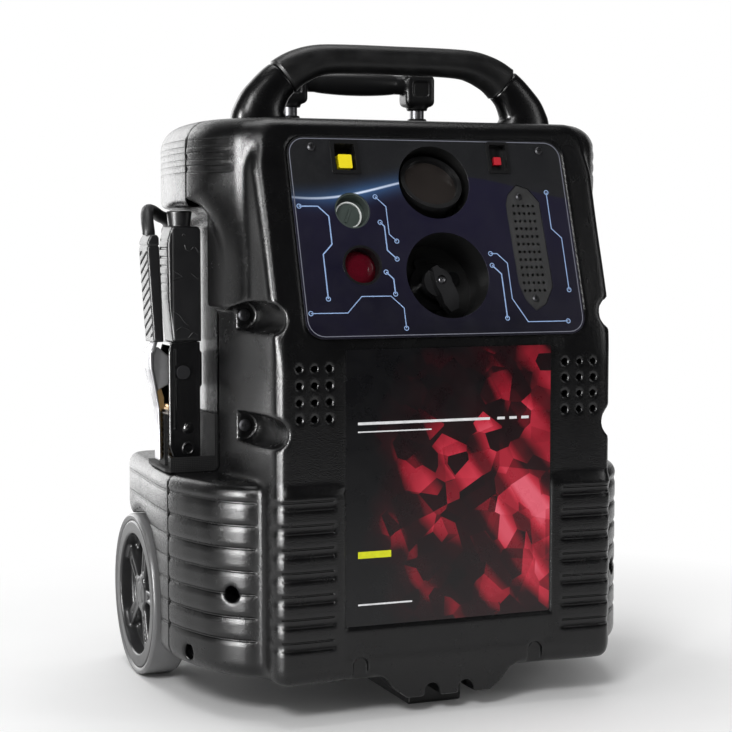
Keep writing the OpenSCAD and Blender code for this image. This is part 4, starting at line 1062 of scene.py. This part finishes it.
def panel_art():
    """Circuit traces with round pads, and the border line."""
    face = lambda a, b, out: on_panel(a, b, 2.02 + out)
    traces = [
        [(-141, 30), (-122, 30), (-112, 20), (-112, -8), (-122, -18), (-122, -62)],
        [(-62, 40), (-52, 30), (-52, 2), (-45, -5)],
        [(-60, 14), (-56, 10), (-56, -14), (-47, -23)],
        [(-141, -76), (-104, -76), (-88, -60), (-58, -60), (-46, -72), (-46, -92)],
        [(-60, -36), (-53, -43), (-53, -58)],
        [(53, -18), (60, -18), (70, -28), (70, -64), (84, -88), (128, -88)],
        [(53, -30), (62, -39), (62, -84)],
        [(124, 46), (124, 8), (134, -2), (134, -56)],
    ]
    for k, route in enumerate(traces):
        strip(f"trace_{k}", route, (1.2, 0.9)[k % 2], TRACE, face)
        for end, at in enumerate((route[0], route[-1])):
            ring = arc(*at, 2.1, range(0, 360, 18))
            strip(f"pad_{k}_{end}", ring, 0.8, TRACE, face, closed=True)
    border = []
    inset, r = 2.2, 16.0
    for sx, sy, start in ((1, 1, 0), (-1, 1, 90), (-1, -1, 180), (1, -1, 270)):
        cx, cy = sx * (PANEL_W - inset - r), sy * (PANEL_H - inset - r)
        border += arc(cx, cy, r, range(start, start + 91, 15))
    strip("panel_border", border, 0.8, PALE_INK, face, closed=True)


def label_art():
    """White rule with dashes and a small yellow bar, in place of words."""
    face = lambda a, b, out: Vector(place((a, 0.22 - out, LABEL_Z + b)))
    strip("label_rule", [(-96, 62), (42, 62)], 2.6, WHITE_INK, face)
    for k in range(3):
        strip(f"label_dash_{k}", [(50 + 13 * k, 62), (58 + 13 * k, 62)], 2.6, WHITE_INK, face)
    strip("label_thin_rule", [(-96, 54), (-20, 54)], 1.2, WHITE_INK, face)
    strip("label_bar", [(-96, -64), (-62, -64)], 6.5, YELLOW_INK, face)
    strip("label_foot", [(-96, -112), (-40, -112)], 1.6, WHITE_INK, face)


# ---- the pack ---------------------------------------------------------------
bpy.context.scene.view_settings.view_transform = "Standard"
camera()
CABLE_RED = rubber("red_cable", srgb(170, 18, 34), 0.45)
CABLE_BLACK = rubber("black_cable", (0.010, 0.010, 0.011, 1), 0.45)
cable("cable_black", -1, CABLE_BLACK)
cable("cable_red", 1, CABLE_RED)
studio()
floor()

SHELL = moulded("shell_plastic", (0.0018, 0.0018, 0.0021, 1), 0.25, 0.00022, specular=0.4, lines=shell_lines)
DARK_SHELL = moulded("handle_plastic", (0.0018, 0.0018, 0.0021, 1), 0.26, 0.0001, specular=0.4)
DARK = moulded("dark_plastic", (0.007, 0.007, 0.0075, 1), 0.32, 0.00004, specular=0.35)
SATIN = moulded("satin_plastic", (0.012, 0.012, 0.012, 1), 0.42, 0.00005, specular=0.35)
GREY = moulded("wheel_plastic", (0.028, 0.028, 0.029, 1), 0.30, 0.00006)
TYRE = moulded("tyre_rubber", (0.15, 0.15, 0.152, 1), 0.32, 0.00012)
RUBBER = rubber("grip_rubber", (0.003, 0.003, 0.0033, 1), 0.40)
RED = moulded("red_plastic", srgb(190, 22, 40), 0.38, 0.00006)
YELLOW = moulded("yellow_plastic", srgb(235, 215, 10), 0.34, 0.00003, spread=0.08)
WHITE = moulded("white_plastic", srgb(225, 228, 226), 0.35, 0.00003, spread=0.05)
SOCKET_FACE = moulded("socket_plastic", srgb(66, 76, 72), 0.4, 0.00003)
LENS = moulded("red_lens", srgb(86, 8, 24), 0.10, 0.00006, 300.0)
WELL = moulded("well_plastic", (0.0025, 0.0025, 0.0028, 1), 0.18, 0.00003)
KNOB = moulded("knob_plastic", (0.016, 0.016, 0.017, 1), 0.2, 0.00003)
GLASS = moulded("smoked_glass", srgb(40, 36, 34), 0.10, 0.000005)
STEEL = metal("bright_steel", (0.62, 0.62, 0.63, 1), 0.28)
DARK_STEEL = metal("dark_screw", (0.05, 0.05, 0.053, 1), 0.50)
TUBE = metal("tube_metal", (0.20, 0.20, 0.21, 1), 0.34)
COPPER = metal("copper", (0.72, 0.42, 0.20, 1), 0.30)
TEETH = metal("teeth_copper", (0.78, 0.50, 0.22, 1), 0.30, dark_below=0.288)
MESH = grille_paint("grille_mesh")
GRIP_BLACK = moulded("grip_plastic", (0.009, 0.009, 0.010, 1), 0.34, 0.00008)
JAW_BLACK = moulded("jaw_plastic", (0.005, 0.005, 0.0055, 1), 0.22, 0.00004)
JAW_GREY = metal("jaw_steel", (0.42, 0.42, 0.43, 1), 0.42)
KNURLED = knurled("rest_rubber")
CASE = moulded("battery_case", (0.03, 0.03, 0.034, 1), 0.5)
BOARD = moulded("board_green", srgb(20, 84, 44), 0.45)
TRACE = ink("trace_ink", srgb(150, 178, 222))
PALE_INK = ink("pale_ink", srgb(120, 122, 134))
WHITE_INK = ink("white_ink", srgb(232, 232, 234))
YELLOW_INK = ink("yellow_ink", srgb(222, 226, 30))
PANEL = panel_paint()
LABEL = label_paint()

front = front_shell(SHELL)
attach(front, "pack")
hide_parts("front_shell")
rear = rear_shell(SHELL)
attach(rear, "pack")
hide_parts("rear_shell")
carry_handle()
trolley_grip()
for side in (-1, 1):
    wheel(side)
clamp(-1, GRIP_BLACK)
clamp(1, RED)
panel_art()
label_art()

soften("keel_pad", SATIN, 1.5)
soften(["trolley_collars", "trolley_button", "alarm_body", "voltmeter"], DARK, 0.6)
soften("selector_base", WELL, 0.9, 3)
soften("selector_knob", KNOB, 0.9, 3)
soften(["trolley_tubes", "trolley_sleeves"], TUBE, 0.2)
soften(["tyre_left", "tyre_right"], TYRE, 1.2)
soften(["axle", "clamp_springs"], STEEL, 0.2)
soften("selector_screw", TUBE, 0.2)
soften(["panel_screws", "shell_screws", "clamp_pins"], DARK_STEEL, 0.15)
soften("control_panel", PANEL, 0.6)
soften("front_label", LABEL, 0.1)
soften("grille_plate", MESH, 0.2)
soften(["test_bezel", "breaker_body"], DARK, 0.5)
soften("test_button", YELLOW, 0.8)
soften("breaker_button", RED, 0.6)
soften("voltmeter_glass", GLASS, 0.3)
soften("charge_socket", SOCKET_FACE, 0.4)
soften("socket_ring", WHITE, 0.4)
soften("alarm_lens", LENS, 0.3)
soften(["cable_glands", "cable_clips"], SATIN, 0.5)
soften("clamp_rests", KNURLED, 0.5)
soften("batteries", CASE, 1.0)
soften("battery_tray", TUBE, 0.3)
soften("link_bars", COPPER, 0.3)
soften("control_board", BOARD, 0.2)
for side in ("left", "right"):
    soften([f"clamp_{side}_inner_teeth", f"clamp_{side}_outer_teeth"], TEETH, 0.4)
